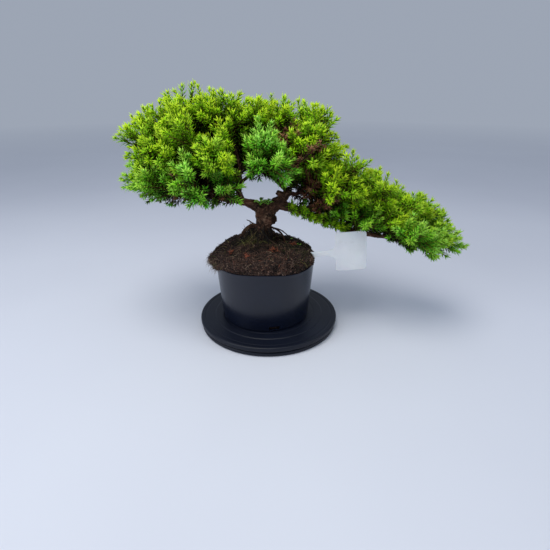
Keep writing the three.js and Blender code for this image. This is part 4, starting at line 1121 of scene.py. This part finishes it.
def bark_relief(points, triangles, centrelines):
    """Flaky ridges that run along the wood, as a push outward and a value from hollow to ridge."""
    tree = KDTree(sum(len(line) for line in centrelines))
    samples = []
    for line in centrelines:
        _, u, v = curve_frames(line[:, :3])
        for row in np.concatenate([line, u, v, length_along(line)[:, None]], 1):
            tree.insert(Vector(row[:3]), len(samples))
            samples.append(row)
    tree.balance()
    nearest = np.array(samples)[[tree.find(Vector(p))[1] for p in points]]
    offset = points - nearest[:, :3]
    radius = nearest[:, 3]
    angle = np.arctan2((offset * nearest[:, 7:10]).sum(1), (offset * nearest[:, 4:7]).sum(1))
    ring = np.stack([np.cos(angle), np.sin(angle)], 1) * np.clip(radius, 2, 12)[:, None] / 1.7
    along = nearest[:, 10:11]
    wavy = np.concatenate([ring * 1.25, along / 7.5], 1) + lattice_noise(points / 9, 3)[:, None] * 0.8
    ridges = 1 - 2.4 * np.abs(lattice_noise(wavy, 5))
    fine = lattice_noise(np.concatenate([ring * 3, along / 2.6], 1), 9)
    lumps = lattice_noise(points / 7, 12)
    value = 0.48 + 0.34 * ridges + 0.3 * fine + 0.12 * lumps
    push = np.clip(radius * 0.15, 0.2, 2.1) * (0.7 * ridges + 0.55 * fine + 0.85 * lumps)
    return vertex_normals(points, triangles) * push[:, None], value


def thick_rows(line):
    return int((line[:, 3] > THIN_LIMB).sum())


def make_trunk(material, lines):
    thick = [smooth_line(line) for line in [TRUNK, *ROOTS, *STUBS]]
    thick += [line[:max(thick_rows(line) + 2, 4)] for line in lines]
    points, triangles, _ = joined([tube(line, SIDES["trunk"]) for line in thick])
    points, triangles = remeshed(points, triangles, BARK_VOXEL)
    push, ridge = bark_relief(points, triangles, thick)
    points = points + push
    # The cut branch in front has rotted a little: its face is hollow
    foot, knot = (np.array(place[:3], float) for place in STUBS[0])
    way = unit(knot - foot)
    hollow = np.clip(1 - np.linalg.norm(points - (knot + way), axis=1) / ROT["reach"], 0, 1) ** 0.7
    points = points - way * (hollow * ROT["depth"])[:, None]
    ridge = np.clip(ridge - hollow * 0.7, 0, 1)
    # The bark turns darker towards the bottom of the trunk
    damp = np.clip((FOOT_DARK["height"] - points[:, 2]) / FOOT_DARK["fade"], 0, FOOT_DARK["most"])
    trunk = make_piece("trunk_bark", points, triangles, material, ridge=ridge, damp=damp)
    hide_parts("trunk")


def make_wood():
    material = bark_material()
    lines = [smooth_line(limb["line"]) for limb in ALL_LIMBS.values()]
    make_trunk(material, lines)
    parts = []
    for line in [*lines, *(smooth_line(line) for line in [*DRY_BRANCHES, *MORE_ROOTS])]:
        line = line[max(thick_rows(line) - 4, 0):].copy()
        line[:, 3] *= np.linspace(1, 0.72, len(line))
        points, triangles, _ = tube(line, SIDES["branch"])
        push, ridge = bark_relief(points, triangles, [line])
        parts.append((points + push * 1.3, triangles, ridge, np.zeros(len(points))))
    points, triangles, ridge, damp = joined(parts)
    branches = make_piece("branches", points, triangles, material, ridge=ridge, damp=damp)


# Pot, stand and label

def around(values, angle):
    values = np.array(values, float)
    place = (angle / (2 * math.pi) * len(values)) % len(values)
    low = np.floor(place).astype(int)
    share = (1 - np.cos((place - low) * math.pi)) / 2
    return values[low % len(values)] * (1 - share) + values[(low + 1) % len(values)] * share


def pot_radius(z):
    share = (z - POT["bottom"]) / (POT["nominal_rim"] - POT["bottom"])
    return POT["foot"] + (POT["rim"] - POT["foot"]) * share


def turned_solid(radii, heights, x=0.0):
    """A closed skin from rings given as arrays of radii and heights, one row to a ring."""
    rings, sides = radii.shape
    ends = [[x, 0, heights[0].mean()], [x, 0, heights[-1].mean()]]
    grid = polar(radii, circle(sides), heights, x)
    return np.concatenate([grid.reshape(-1, 3), ends]), closed_faces(rings, sides)


def bent(start, corner, end, t):
    """The place at share t of a curve from start to end that heads for a corner first."""
    return start * (1 - t) ** 2 + corner * 2 * t * (1 - t) + end * t * t


def rounded(profile, radius, steps=4):
    """A line of [r, z] with its inner corners rounded, as far as the stretches beside them allow."""
    profile = [np.array(p, float) for p in profile]
    out = [profile[0]]
    for before, corner, after in zip(profile, profile[1:], profile[2:]):
        a, b = before - corner, after - corner
        reach = min(radius, np.linalg.norm(a) * 0.45, np.linalg.norm(b) * 0.45)
        start, end = corner + unit(a) * reach, corner + unit(b) * reach
        out += [bent(start, corner, end, t) for t in np.linspace(0, 1, steps + 1)]
    return np.array([*out, profile[-1]])


def plain_lathe(profile, sides):
    return turned_solid(np.repeat(profile[:, :1], sides, 1), np.repeat(profile[:, 1:], sides, 1))


def sharpen(piece, degrees=40):
    """Smooth shading that keeps the piece's true edges."""
    piece.data.set_sharp_from_angle(angle=math.radians(degrees))


def make_stand():
    material = plastic_material("stand_plastic", "080e1d", "2a3852", 0.46, 0.05, 0.25, 0.3)
    radius, height, edge = STAND["radius"], STAND["height"], STAND["edge"]
    platform, raised = STAND["platform"], height + STAND["rise"]
    under = BASE["thickness"] + PLATE_GAP
    top = [[1, under], [radius - edge, under], [radius, under + edge], [radius, height - edge],
           [radius - edge, height], *([radius - inward, height - depth] for inward, depth in RIM_GROOVE),
           [platform, height], [platform - STAND["slope"], raised],
           *([platform - inward, raised - depth] for inward, depth in PLATFORM_GROOVE), [1, raised]]
    plate = make_piece("stand_plate", *plain_lathe(rounded(top, 1.2), SIDES["plate"]), material)
    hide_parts("turntable_top")
    radius, height, edge = BASE["radius"], BASE["thickness"], BASE["edge"]
    foot = [[1, 0], [radius - edge, 0], [radius, edge], [radius, height - edge], [radius - edge, height],
            [1, height]]
    base = make_piece("stand_base", *plain_lathe(rounded(foot, 1.0), SIDES["base"]), material, body="base")
    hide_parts("turntable_base")
    for piece in (plate, base):
        sharpen(piece)
    inner = plastic_material("bearing_plastic", "cfcfc8", "b0b0a8", 0.4, 0.1, 0.1)
    for name in ("bearing_ring", "centre_pin"):
        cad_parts[name].data.materials.clear()
        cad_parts[name].data.materials.append(inner)


def pot_rings(angle):
    """Rings of the pot from its underside up the wall, over the rim and down inside: radii and heights."""
    rim = around(RIM_HEIGHTS, angle)
    wall, bottom, foot, floor = POT["wall"], POT["bottom"], POT["foot"], POT["floor"]
    rings = [(foot - inward, bottom + up) for inward, up in POT_FOOT]
    rings.append((pot_radius(bottom + 1), bottom + 1.4))
    for share in np.linspace(0.03, 0.97, 24):
        z = bottom + (rim - bottom) * share
        rings.append((pot_radius(z) + 0.25 * np.sin(2 * angle + 0.6) * share, z))
    rings += [(pot_radius(rim) + outward, rim - down) for outward, down in RIM_ROLL]
    for share in np.linspace(0.9, 0.05, 8):
        z = bottom + floor + (rim - bottom - floor) * share
        rings.append((pot_radius(z) - wall, z))
    rings.append((foot - wall - 2, bottom + floor))
    return [np.array([np.broadcast_to(ring[k], angle.shape) for ring in rings]) for k in (0, 1)]


def drain_cutters():
    """A box for each drain slot, through the wall of the pot."""
    boxes = []
    for i in range(DRAIN["count"]):
        at = math.radians(DRAIN["first"] + 360 / DRAIN["count"] * i)
        out, aside = np.array([math.cos(at), math.sin(at), 0]), np.array([-math.sin(at), math.cos(at), 0])
        corners = itertools.product((-1, 1), (-1, 1), (DRAIN["bottom"], DRAIN["top"]))
        box = [out * (POT["foot"] + depth * DRAIN["depth"] / 2) + aside * side * DRAIN["width"] / 2
               + UP * z + np.array([POT_X, 0, 0]) for depth, side, z in corners]
        boxes.append((np.array(box), BOX_FACES))
    return joined(boxes)


def make_pot():
    material = plastic_material("pot_plastic", "0a1020", "2c3a54", 0.24, 0.08, 0.2, 0.44)
    pot = make_piece("nursery_pot", *turned_solid(*pot_rings(circle(SIDES["pot"])), POT_X), material)
    cutter = new_object("drain_cutter", *drain_cutters())
    cut = pot.modifiers.new("drain", "BOOLEAN")
    cut.operation = "DIFFERENCE"
    cut.solver = "EXACT"
    cut.object = cutter
    bake(pot)
    bpy.data.objects.remove(cutter)
    sharpen(pot)
    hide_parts("pot")


def label_outline():
    stem, head = LABEL_STEM, LABEL_HEAD
    half, corner = stem["width"] / 2, head["corner"]
    left, right = head["left"] + corner, head["right"] - corner
    bottom, top = head["bottom"] + corner, head["top"] - corner
    flare = [bent(np.array([stem["shoulder"], half]), np.array([head["left"], half]),
                  np.array([head["left"], head["flare"]]), t) for t in np.linspace(0, 1, 9)[1:]]
    points = [(stem["left"], half * stem["share"] * 0.5), (stem["left"], -half * stem["share"] * 0.5),
              (stem["pointed"], -half), (stem["shoulder"], -half), *((x, -y) for x, y in flare)]
    for quarter, (x, y) in enumerate([(left, bottom), (right, bottom), (right, top), (left, top)], 2):
        for angle in np.linspace(quarter % 4, quarter % 4 + 1, 8) * math.pi / 2:
            points.append((x + corner * math.cos(angle), y + corner * math.sin(angle)))
    return [*points, *flare[::-1], (stem["shoulder"], half), (stem["pointed"], half)]


def label_material():
    material, tree, shader = new_material("label_plastic")
    clouds = ramp(tree, noise_of(tree, 30.0, 5.0), [(0.3, "e8e9eb"), (0.7, "f4f5f5")])
    smudges = spread(tree, noise_of(tree, 110.0, 6.0, 0.7), 0.55, 0.8, 0.0, 0.25)
    set_surface(tree, shader, mixed(tree, smudges, clouds, colour("b9b6ae")), Roughness=0.38,
                Subsurface_Weight=0.1, Subsurface_Scale=0.002)
    add_bump(tree, shader, noise_of(tree, 1800.0, 2.0), 0.15, 0.0002)
    return material


def make_label():
    outline = label_outline()
    card = new_object("label_plate", [(x, 0, z) for x, z in outline], [range(len(outline))])
    thick = card.modifiers.new("thickness", "SOLIDIFY")
    thick.thickness = LABEL["thickness"] * MM
    thick.offset = 0
    soft = card.modifiers.new("edge", "BEVEL")
    soft.width = LABEL["edge"] * MM
    soft.segments = 2
    soft.limit_method = "ANGLE"
    bake(card)
    tilt = math.radians(LABEL["tilt"])
    for vertex in card.data.vertices:
        x, z = vertex.co.x, vertex.co.z
        bow = LABEL["bow"] * MM * math.sin(np.interp(x / MM, LABEL["bowed"], (0, math.pi)))
        vertex.co.x = x * math.cos(tilt) - z * math.sin(tilt) + LABEL["place"][0] * MM
        vertex.co.z = x * math.sin(tilt) + z * math.cos(tilt) + LABEL["place"][2] * MM
        vertex.co.y += LABEL["place"][1] * MM + bow
    card.data.materials.append(label_material())
    card.data.shade_smooth()
    sharpen(card)
    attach(card, BODY)
    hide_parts("plant_label")


# Soil and what grows and lies on it

def soil_profile(angle):
    """Rings of the soil from its middle to the rim of the pot: radii and heights, one column to an angle."""
    edge_r, edge_z, rim = around(SOIL_RADII, angle), around(SOIL_HEIGHTS, angle), around(RIM_HEIGHTS, angle)
    inside = pot_radius(rim) - POT["wall"] - 0.5
    radii = [*(edge_r * share for share in (0, 0.2, 0.42, 0.76)), edge_r - 5, edge_r - 1, inside]
    heights = [*(edge_z * share + SOIL_MIDDLE * (1 - share) for share in (0, 0.1, 0.3, 0.7)),
               edge_z - 0.5, rim * 0.45 + edge_z * 0.55, rim - 1.5]
    return np.array(radii), np.array(heights)


def soil_at(angle, share):
    """Points of the soil at angles and shares of the way from the middle (0) to the rim (1)."""
    angle, share = np.asarray(angle, float), np.asarray(share, float)
    radii, heights = soil_profile(angle)
    place = share * (len(radii) - 1)
    low = np.clip(np.floor(place).astype(int), 0, len(radii) - 2)
    column = np.arange(len(angle))
    around_it = [np.maximum(low - 1, 0), low, low + 1, np.minimum(low + 2, len(radii) - 1)]
    radius, height = (smooth_between(*(values[row, column] for row in around_it), place - low)
                      for values in (radii, heights))
    return polar(radius, angle, height)


def soil_normals(angle, share):
    step = 1e-3
    outward = soil_at(angle, np.minimum(share + step, 1)) - soil_at(angle, np.maximum(share - step, 0))
    sideways = soil_at(angle + step, share) - soil_at(angle - step, share)
    return unit(np.cross(outward, sideways) + UP * 1e-6)


def soil_relief(points, share):
    """How far the rough surface of the soil stands out at points of its smooth one, with a small heap
    round the stem of the label."""
    edge = np.clip((1 - share) / 0.06, 0, 1)
    off_heap = ((points[:, :2] - LABEL_HEAP["place"]) ** 2).sum(1)
    heap = LABEL_HEAP["height"] * np.exp(-off_heap / LABEL_HEAP["spread"])
    rough = (height * lattice_noise(points / size, seed) for height, size, seed in SOIL_ROUGH)
    return edge * sum(rough, heap)


def moss_share(points):
    """Where the soil is green: on the right, and round the foot of the trunk."""
    green = sum(strength * np.exp(-(((points[:, 0] - x) / wide) ** 2 + ((points[:, 1] - y) / deep) ** 2))
                for x, y, wide, deep, strength in MOSS_PATCHES)
    patchy = 0.5 + 0.8 * lattice_noise(points / 7, 21)
    return np.clip(green * patchy * 1.4, 0, 1)


def make_soil():
    sides, rings = SOIL_GRID
    angle = circle(sides)
    bearings, shares = np.tile(angle, rings), np.repeat(np.linspace(0.004, 1, rings), sides)
    smooth = soil_at(bearings, shares)
    relief = soil_relief(smooth, shares)
    grid = (smooth + soil_normals(bearings, shares) * relief[:, None]).reshape(rings, sides, 3)
    # Below the rim the ball runs down inside the pot
    floor = POT["bottom"] + POT["floor"] + 0.4
    below = []
    for share in (0.05, 0.5, 1.0):
        z = grid[-1, :, 2] * (1 - share) + floor * share
        below.append(polar(pot_radius(z) - POT["wall"] - 0.8, angle, z))
    grid = np.concatenate([grid, below])[::-1]
    points = np.concatenate([grid.reshape(-1, 3), [[POT_X, 0, floor], [POT_X, 0, grid[-1, :, 2].mean()]]])
    height = np.concatenate([np.zeros(3 * sides), relief.reshape(rings, sides)[::-1].ravel(), [0, 0]])
    soil = make_piece("soil", points, closed_faces(len(grid), sides), soil_material(),
                      height=np.clip(0.5 + height / 4, 0, 1), moss=moss_share(points))
    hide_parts("root_ball")


def from_middle(points):
    """How far points are from the upright axis of the pot."""
    return np.linalg.norm(points[:, :2] - np.array([POT_X, 0]), axis=1)


def scatter(rng, count, low=0.12, high=0.97):
    """Random places on the soil, evenly spread over its area: angles and shares."""
    angle = rng.uniform(0, 2 * math.pi, count * 3)
    share = np.sqrt(rng.uniform(low**2, high**2, count * 3))
    keep = rng.random(count * 3) < np.clip(from_middle(soil_at(angle, share)) / 78, 0.15, 1)
    return angle[keep][:count], share[keep][:count]


def surface_points(angle, share, lift):
    smooth = soil_at(angle, share)
    return smooth + soil_normals(angle, share) * (soil_relief(smooth, share) + lift)[:, None]


def lying_fibres(rng):
    """Fibres that lie on the soil or loop out of it."""
    steps = STEPS["fibres"]
    angle, share = scatter(rng, COUNTS["fibres"])
    count = len(angle)
    heading = rng.uniform(0, 2 * math.pi, count)
    length = rng.uniform(4, 17, count) * np.where(rng.random(count) < 0.12, 1.7, 1.0)
    bend = rng.normal(0, 0.35, count)
    arch = rng.exponential(0.9, count).clip(0, 4.5)
    paths = []
    for step in range(steps):
        lift = np.sin(math.pi * step / (steps - 1)) * arch - 0.1
        paths.append(surface_points(angle, share, lift))
        stride = length / (steps - 1)
        angle = angle + np.cos(heading) * stride / np.maximum(from_middle(paths[-1]), 6)
        share = np.clip(share + np.sin(heading) * stride / 100, 0.02, 0.985)
        heading = heading + bend
    return strands(np.stack(paths, 1), rng.uniform(0.11, 0.26, count), rng.beta(1.6, 2.2, count))


def hanging_fringe(rng):
    """A shaggy fringe that hangs over the edge on the left, light as straw."""
    count = COUNTS["fringe"]
    angle = np.radians(rng.normal(180, 17, count))
    share = rng.uniform(0.72, 0.97, count)
    start = surface_points(angle, share, np.zeros(count))
    outward = polar(1, angle, np.zeros(count), 0)
    aside = np.stack([-np.sin(angle), np.cos(angle), np.zeros(count)], 1) * rng.normal(0, 0.9, (count, 1))
    way = outward * rng.uniform(0.1, 1, (count, 1)) + aside + UP * rng.normal(0.15, 0.4, (count, 1))
    reach = rng.uniform(3, 10, (count, 1, 1))
    t = np.linspace(0, 1, STEPS["fibres"])[None, :, None]
    paths = start[:, None] + unit(way)[:, None] * reach * t - UP * reach * 0.5 * t**2
    return strands(paths, rng.uniform(0.1, 0.22, count), rng.beta(2.6, 2, count))


def make_fibres():
    """Fine dead roots and fibres that lie on the soil, loop out of it or hang over its edge."""
    rng = np.random.default_rng(31)
    material = tone_material("fibres")
    points, triangles, tone = joined([lying_fibres(rng), hanging_fringe(rng)])
    fibres = make_piece("soil_fibres", points, triangles, material, tone=tone)


def lump_shapes(rng, centres, sizes, normals):
    """Small rough crumbs: octahedra pulled out of shape."""
    corners = np.array([[1, 0, 0], [-1, 0, 0], [0, 1, 0], [0, -1, 0], [0, 0, 1], [0, 0, -1]], float)
    pattern = np.array([[0, 2, 4], [2, 1, 4], [1, 3, 4], [3, 0, 4], [2, 0, 5], [1, 2, 5], [3, 1, 5],
                        [0, 3, 5]])
    count = len(centres)
    stretch = rng.uniform(0.55, 1.35, (count, 6, 1))
    local = corners * stretch + rng.normal(0, 0.18, (count, 6, 3))
    u = unit(np.cross(normals, rng.normal(0, 1, (count, 3))))
    axes = (u, np.cross(normals, u), normals)
    points = sum(local[..., k:k + 1] * axis[:, None] for k, axis in enumerate(axes))
    points = centres[:, None] + points * sizes[:, None, None]
    triangles = pattern[None] + 6 * np.arange(count)[:, None, None]
    return points.reshape(-1, 3), triangles.reshape(-1, 3)


def make_crumbs():
    rng = np.random.default_rng(37)
    material = tone_material("crumbs", 0.95)
    angle, share = scatter(rng, COUNTS["crumbs"])
    size = rng.uniform(0.35, 1.15, len(angle)) * np.where(rng.random(len(angle)) < 0.06, 1.7, 1)
    centres = surface_points(angle, share, size * 0.25)
    points, triangles = lump_shapes(rng, centres, size, soil_normals(angle, share))
    tone = np.repeat(rng.beta(1.1, 2.1, len(angle)), 6)
    crumbs = make_piece("soil_crumbs", points, triangles, material, tone=tone)


def make_moss():
    """Moss as short upright leaves, thick where the soil is green."""
    rng = np.random.default_rng(41)
    material = tone_material("moss", 0.7)
    angle, share = scatter(rng, COUNTS["moss"], 0.05, 0.93)
    keep = rng.random(len(angle)) < moss_share(soil_at(angle, share)) * 0.8
    angle, share = angle[keep], share[keep]
    base = surface_points(angle, share, np.full(len(angle), -0.3))
    heading = soil_normals(angle, share) + rng.normal(0, 0.45, base.shape)
    length = rng.uniform(1.1, 2.8, len(base))
    points, triangles = needles(base, heading, rng.normal(0, 1, base.shape), length, length * 0.3, 0.2)
    moss = make_piece("moss", points, triangles, material, tone=np.repeat(rng.beta(2, 2, len(base)), 4))


def ground_under(x, y):
    """A place just over the soil, straight over x and y, and the way the soil faces there."""
    at = math.atan2(y, x - POT_X)
    shares = np.linspace(0.02, 0.95, 300)
    reach = from_middle(soil_at(np.full(len(shares), at), shares))
    share = shares[np.abs(reach - math.hypot(x - POT_X, y)).argmin()]
    place = np.array([at]), np.array([share])
    return surface_points(*place, np.array([1.2]))[0], soil_normals(*place)[0]


def make_fallen_needles():
    """Dead needles on the soil, some single and some still on short bits of twig."""
    rng = np.random.default_rng(43)
    material = tone_material("fallen_needles", 0.75)
    angle, share = scatter(rng, COUNTS["fallen"], 0.15, 0.92)
    count = len(angle)
    base = surface_points(angle, share, np.full(count, 0.3))
    normals = soil_normals(angle, share)
    flat = unit(np.cross(normals, rng.normal(0, 1, base.shape)) + normals * 0.12)
    parts = [(*needles(base, flat, normals, rng.uniform(4.5, 7, count), np.full(count, 1.0), 0.05),
              np.repeat(rng.beta(1.2, 2.6, count), 4))]
    for x, y, heading, length in FALLEN_TWIGS:
        start, normal = ground_under(x, y)
        way = unit(np.array([math.cos(heading), math.sin(heading), 0]) + normal * 0.15)
        way = unit(way - normal * (way @ normal) * 0.8)
        rows, _, stem = dress_shoot(shoot_curve(start, way, length, UP * 0.05), 1.0, rng, 0.75)
        needle_points, needle_faces = needles(*rows)
        parts.append((needle_points, needle_faces, np.full(len(needle_points), rng.uniform(0.5, 0.95))))
        stem_points, stem_faces, _ = tube(stem, SIDES["stem"])
        parts.append((stem_points, stem_faces, np.full(len(stem_points), 0.2)))
    points, triangles, tone = joined(parts)
    fallen = make_piece("fallen_needles", points, triangles, material, tone=tone)


def trunk_roots(rng, t):
    """Fine roots that fall round the foot of the trunk."""
    count = COUNTS["roots"]
    bearing = rng.uniform(0, 2 * math.pi, count)
    top = rng.uniform(136, 167, count)
    reach = rng.uniform(4, 34, count) * rng.uniform(0.4, 1.2, count)
    # On the right they stay close in, so that light shows between the trunk and an arched root
    reach = np.where(np.cos(bearing) > 0.45, np.minimum(reach, 5), reach)
    radius = 9.0 + reach[:, None] * t**1.2
    end = bearing + rng.normal(0, 0.3, count)
    angle = bearing[:, None] * (1 - t) + end[:, None] * t
    ground = 137.5 - 0.12 * np.clip(radius - 8, 0, 60)
    fall = (1 - t) ** rng.uniform(0.9, 1.7, (count, 1))
    sway = rng.normal(0, 2.6, (count, 1)) * np.sin(t * math.pi * rng.uniform(1, 2.6, (count, 1)))
    paths = polar(radius, angle, top[:, None] * fall + ground * (1 - fall) - 1.5 * t**3, -6.5)
    return paths + np.stack([sway, -sway, 0 * sway], 2)


def starts_on(line, rng, count, to):
    return np.array([place_along(line, share)[0] for share in rng.uniform(0.05, to, count)])


def hanging_roots(rng, t, line, count, aside):
    """Fine roots that hang from an arched root."""
    starts = starts_on(line, rng, count, 0.75)
    lean = rng.normal(0, 0.2, (count, 2)) + np.array([aside, -0.1])
    drop = np.clip(starts[:, 2] - 135, 2, 60)[:, None]
    ends = starts - np.concatenate([-lean * drop * 1.5, drop], 1)
    sway = rng.normal(0, 1.3, (count, 1)) * np.sin(t * math.pi * rng.uniform(1, 2.5, (count, 1)))
    path = starts[:, None] * (1 - t[..., None]) + ends[:, None] * t[..., None]
    return path + np.stack([sway, -sway, 0 * sway], 2)


def make_fine_roots():
    """A tangle of fine roots that falls from the foot of the trunk and from the two arched roots."""
    rng = np.random.default_rng(47)
    material = tone_material("fine_roots", 0.9)
    t = np.linspace(0, 1, STEPS["roots"])[None]
    paths = [trunk_roots(rng, t)]
    for line, count, aside in zip(ROOTS, COUNTS["hanging"], (0.2, -0.15)):
        paths.append(hanging_roots(rng, t, line, count, aside))
    count = COUNTS["sprigs"]
    starts = starts_on(ROOTS[0], rng, count, 0.8)
    ways = unit(rng.normal(0, 1, (count, 3)) + np.array([-0.5, -0.4, 0.7])) * rng.uniform(4, 10, (count, 1))
    paths = np.concatenate([*paths, starts[:, None] + ways[:, None] * t[..., None]])
    count = len(paths)
    thickness = rng.uniform(0.3, 0.95, count) * rng.uniform(0.6, 1, count)
    points, triangles, tone = strands(paths, thickness, rng.beta(1.0, 1.5, count))
    roots = make_piece("fine_roots", points, triangles, material, tone=tone)


def make_grass():
    """Thin blades and stalks round the foot of the trunk, most on the left, and a few at the edge."""
    rng = np.random.default_rng(53)
    material = tone_material("grass", 0.6)
    count = COUNTS["grass"]
    near = rng.random(count) < 0.72
    x = np.where(near, rng.normal(-19, 9, count), rng.uniform(-80, 62, count))
    y = np.where(near, rng.normal(-7, 7, count), rng.uniform(-62, 50, count))
    angle = np.arctan2(y, x - POT_X)
    share = np.clip(np.hypot(x - POT_X, y) / 100, 0.03, 0.9)
    foot = surface_points(angle, share, np.full(count, -0.5))
    length = np.where(near, rng.uniform(7, 22, count), rng.uniform(4, 11, count))[:, None]
    way = unit(soil_normals(angle, share) + rng.normal(0, 0.45, (count, 3)))
    droop = rng.uniform(0.1, 0.75, (count, 1))
    t = np.linspace(0, 1, STEPS["grass"])
    aside = unit(rng.normal(0, 1, (count, 3)) * np.array([1, 1, 0.1]))
    paths = (foot[:, None] + way[:, None] * (length * t)[..., None]
             + aside[:, None] * (length * 0.35 * t**2)[..., None] - UP * (length * droop * t**2.2)[..., None])
    points, triangles, tone = strands(paths, rng.uniform(0.16, 0.36, count), rng.random(count))
    grass = make_piece("grass", points, triangles, material, tone=tone)


def rounded_leaf(base, way, normal, length, width):
    """A small cupped leaf with a round end."""
    side = unit(np.cross(way, normal))
    t = np.linspace(0, 1, 7)
    half = width / 2 * np.sqrt(np.clip(1 - (2 * t - 1.1) ** 2 / 1.25, 0, 1)) * (t > 0)
    half[0] = 0.25
    rows = []
    for share, reach in zip(t, half):
        middle = base + way * length * share + normal * length * 0.12 * math.sin(share * math.pi)
        cup = normal * reach * 0.25
        rows += [middle - side * reach + cup, middle, middle + side * reach + cup]
    above = np.array(rows)
    count = len(above)
    faces = []
    for row in range(0, count - 3, 3):
        for a in (row, row + 1):
            faces += [[a, a + 1, a + 4], [a, a + 4, a + 3]]
    faces = np.array(faces)
    rim = [*range(0, count, 3), count - 2, *range(count - 1, 0, -3), 1]
    skirt = []
    for a, b in zip(rim, rim[1:] + rim[:1]):
        skirt += [[b, a, a + count], [b, a + count, b + count]]
    points = np.concatenate([above, above - normal * 0.35])
    return points, np.concatenate([faces, faces[:, ::-1] + count, skirt])


def make_seedlings():
    """Small seedlings with rounded leaves, two in the fork of the trunk and two on the soil."""
    rng = np.random.default_rng(59)
    material = tone_material("seedling_leaves", 0.4)
    parts = []
    for centre, count, size in SEEDLINGS:
        for i in range(count):
            lean = math.radians(rng.uniform(25, 70))
            way = polar(math.sin(lean), i * GOLDEN_ANGLE + 0.4, math.cos(lean), 0)
            stalk = np.linspace(0, 1, 5)[:, None] * way * size * rng.uniform(0.5, 0.9) + np.array(centre)
            curve = np.concatenate([stalk, np.full((len(stalk), 1), 0.3)], 1)
            points, triangles, _ = tube(curve, SIDES["stalk"])
            parts.append((points, triangles, np.full(len(points), 0.3)))
            outward = unit(way * np.array([1, 1, 0.2]))
            normal = unit(UP - outward * (UP @ outward))
            points, triangles = rounded_leaf(stalk[-1], outward, normal, size * rng.uniform(0.75, 1.1),
                                             size * 0.7)
            parts.append((points, triangles, np.full(len(points), rng.random())))
    points, triangles, tone = joined(parts)
    leaves = make_piece("seedlings", points, triangles, material, tone=tone)


# Floor, light and camera

def make_floor():
    half, z = FLOOR["half"], FLOOR["z"]
    corners = [(-half, -half, z), (half, -half, z), (half, half, z), (-half, half, z)]
    floor = new_object("floor", corners, [[0, 1, 2, 3]])
    material, tree, shader = new_material("floor")
    set_surface(tree, shader, ramp(tree, noise_of(tree, 1.5, 3.0), [(0.3, "d4d7e1"), (0.7, "dbdee7")]),
                Roughness=0.65)
    # Far out the floor turns into the colour of the background
    glow = node(tree, "ShaderNodeEmission", Color=BACKGROUND, Strength=BACKGROUND_STRENGTH)
    distance = node(tree, "ShaderNodeVectorMath", operation="LENGTH")
    tree.links.new(node(tree, "ShaderNodeTexCoord").outputs["Object"], distance.inputs[0])
    blend = node(tree, "ShaderNodeMixShader")
    sources = (spread(tree, distance.outputs["Value"], *FLOOR["fade"]), shader.outputs[0], glow.outputs[0])
    for source, socket in zip(sources, blend.inputs):
        tree.links.new(source, socket)
    tree.links.new(blend.outputs[0], tree.nodes["Material Output"].inputs["Surface"])
    floor.data.materials.append(material)


def make_light(name, place, size, power, tint):
    light = bpy.data.lights.new(name, "AREA")
    light.shape = "DISK"
    light.size = size
    light.energy = power
    light.color = tint
    lamp = bpy.data.objects.new(name, light)
    lamp.location = place
    lamp.rotation_euler = (Vector(LIGHT_TARGET) - Vector(place)).to_track_quat("-Z", "Y").to_euler()
    bpy.context.scene.collection.objects.link(lamp)


def make_camera(scene):
    data = bpy.data.cameras.new("camera")
    data.sensor_width = CAMERA["sensor"]
    data.lens = CAMERA["focal"] / CAMERA["frame"] * CAMERA["sensor"]
    camera = bpy.data.objects.new("camera", data)
    camera.location = [part * MM for part in CAMERA["place"]]
    camera.rotation_euler = (math.pi / 2 - CAMERA["down"], 0, 0)
    scene.collection.objects.link(camera)
    scene.camera = camera


def make_studio():
    world = bpy.data.worlds.new("studio")
    world.use_nodes = True
    world.node_tree.nodes["Background"].inputs["Color"].default_value = BACKGROUND
    world.node_tree.nodes["Background"].inputs["Strength"].default_value = BACKGROUND_STRENGTH
    scene = bpy.context.scene
    scene.world = world
    scene.view_settings.view_transform = "Standard"
    for name, values in LIGHTS.items():
        make_light(name, *values)
    make_floor()
    make_camera(scene)


make_studio()
make_stand()
make_pot()
make_label()
make_soil()
make_fibres()
make_crumbs()
make_moss()
make_fallen_needles()
make_fine_roots()
make_grass()
make_wood()
make_seedlings()
make_foliage()
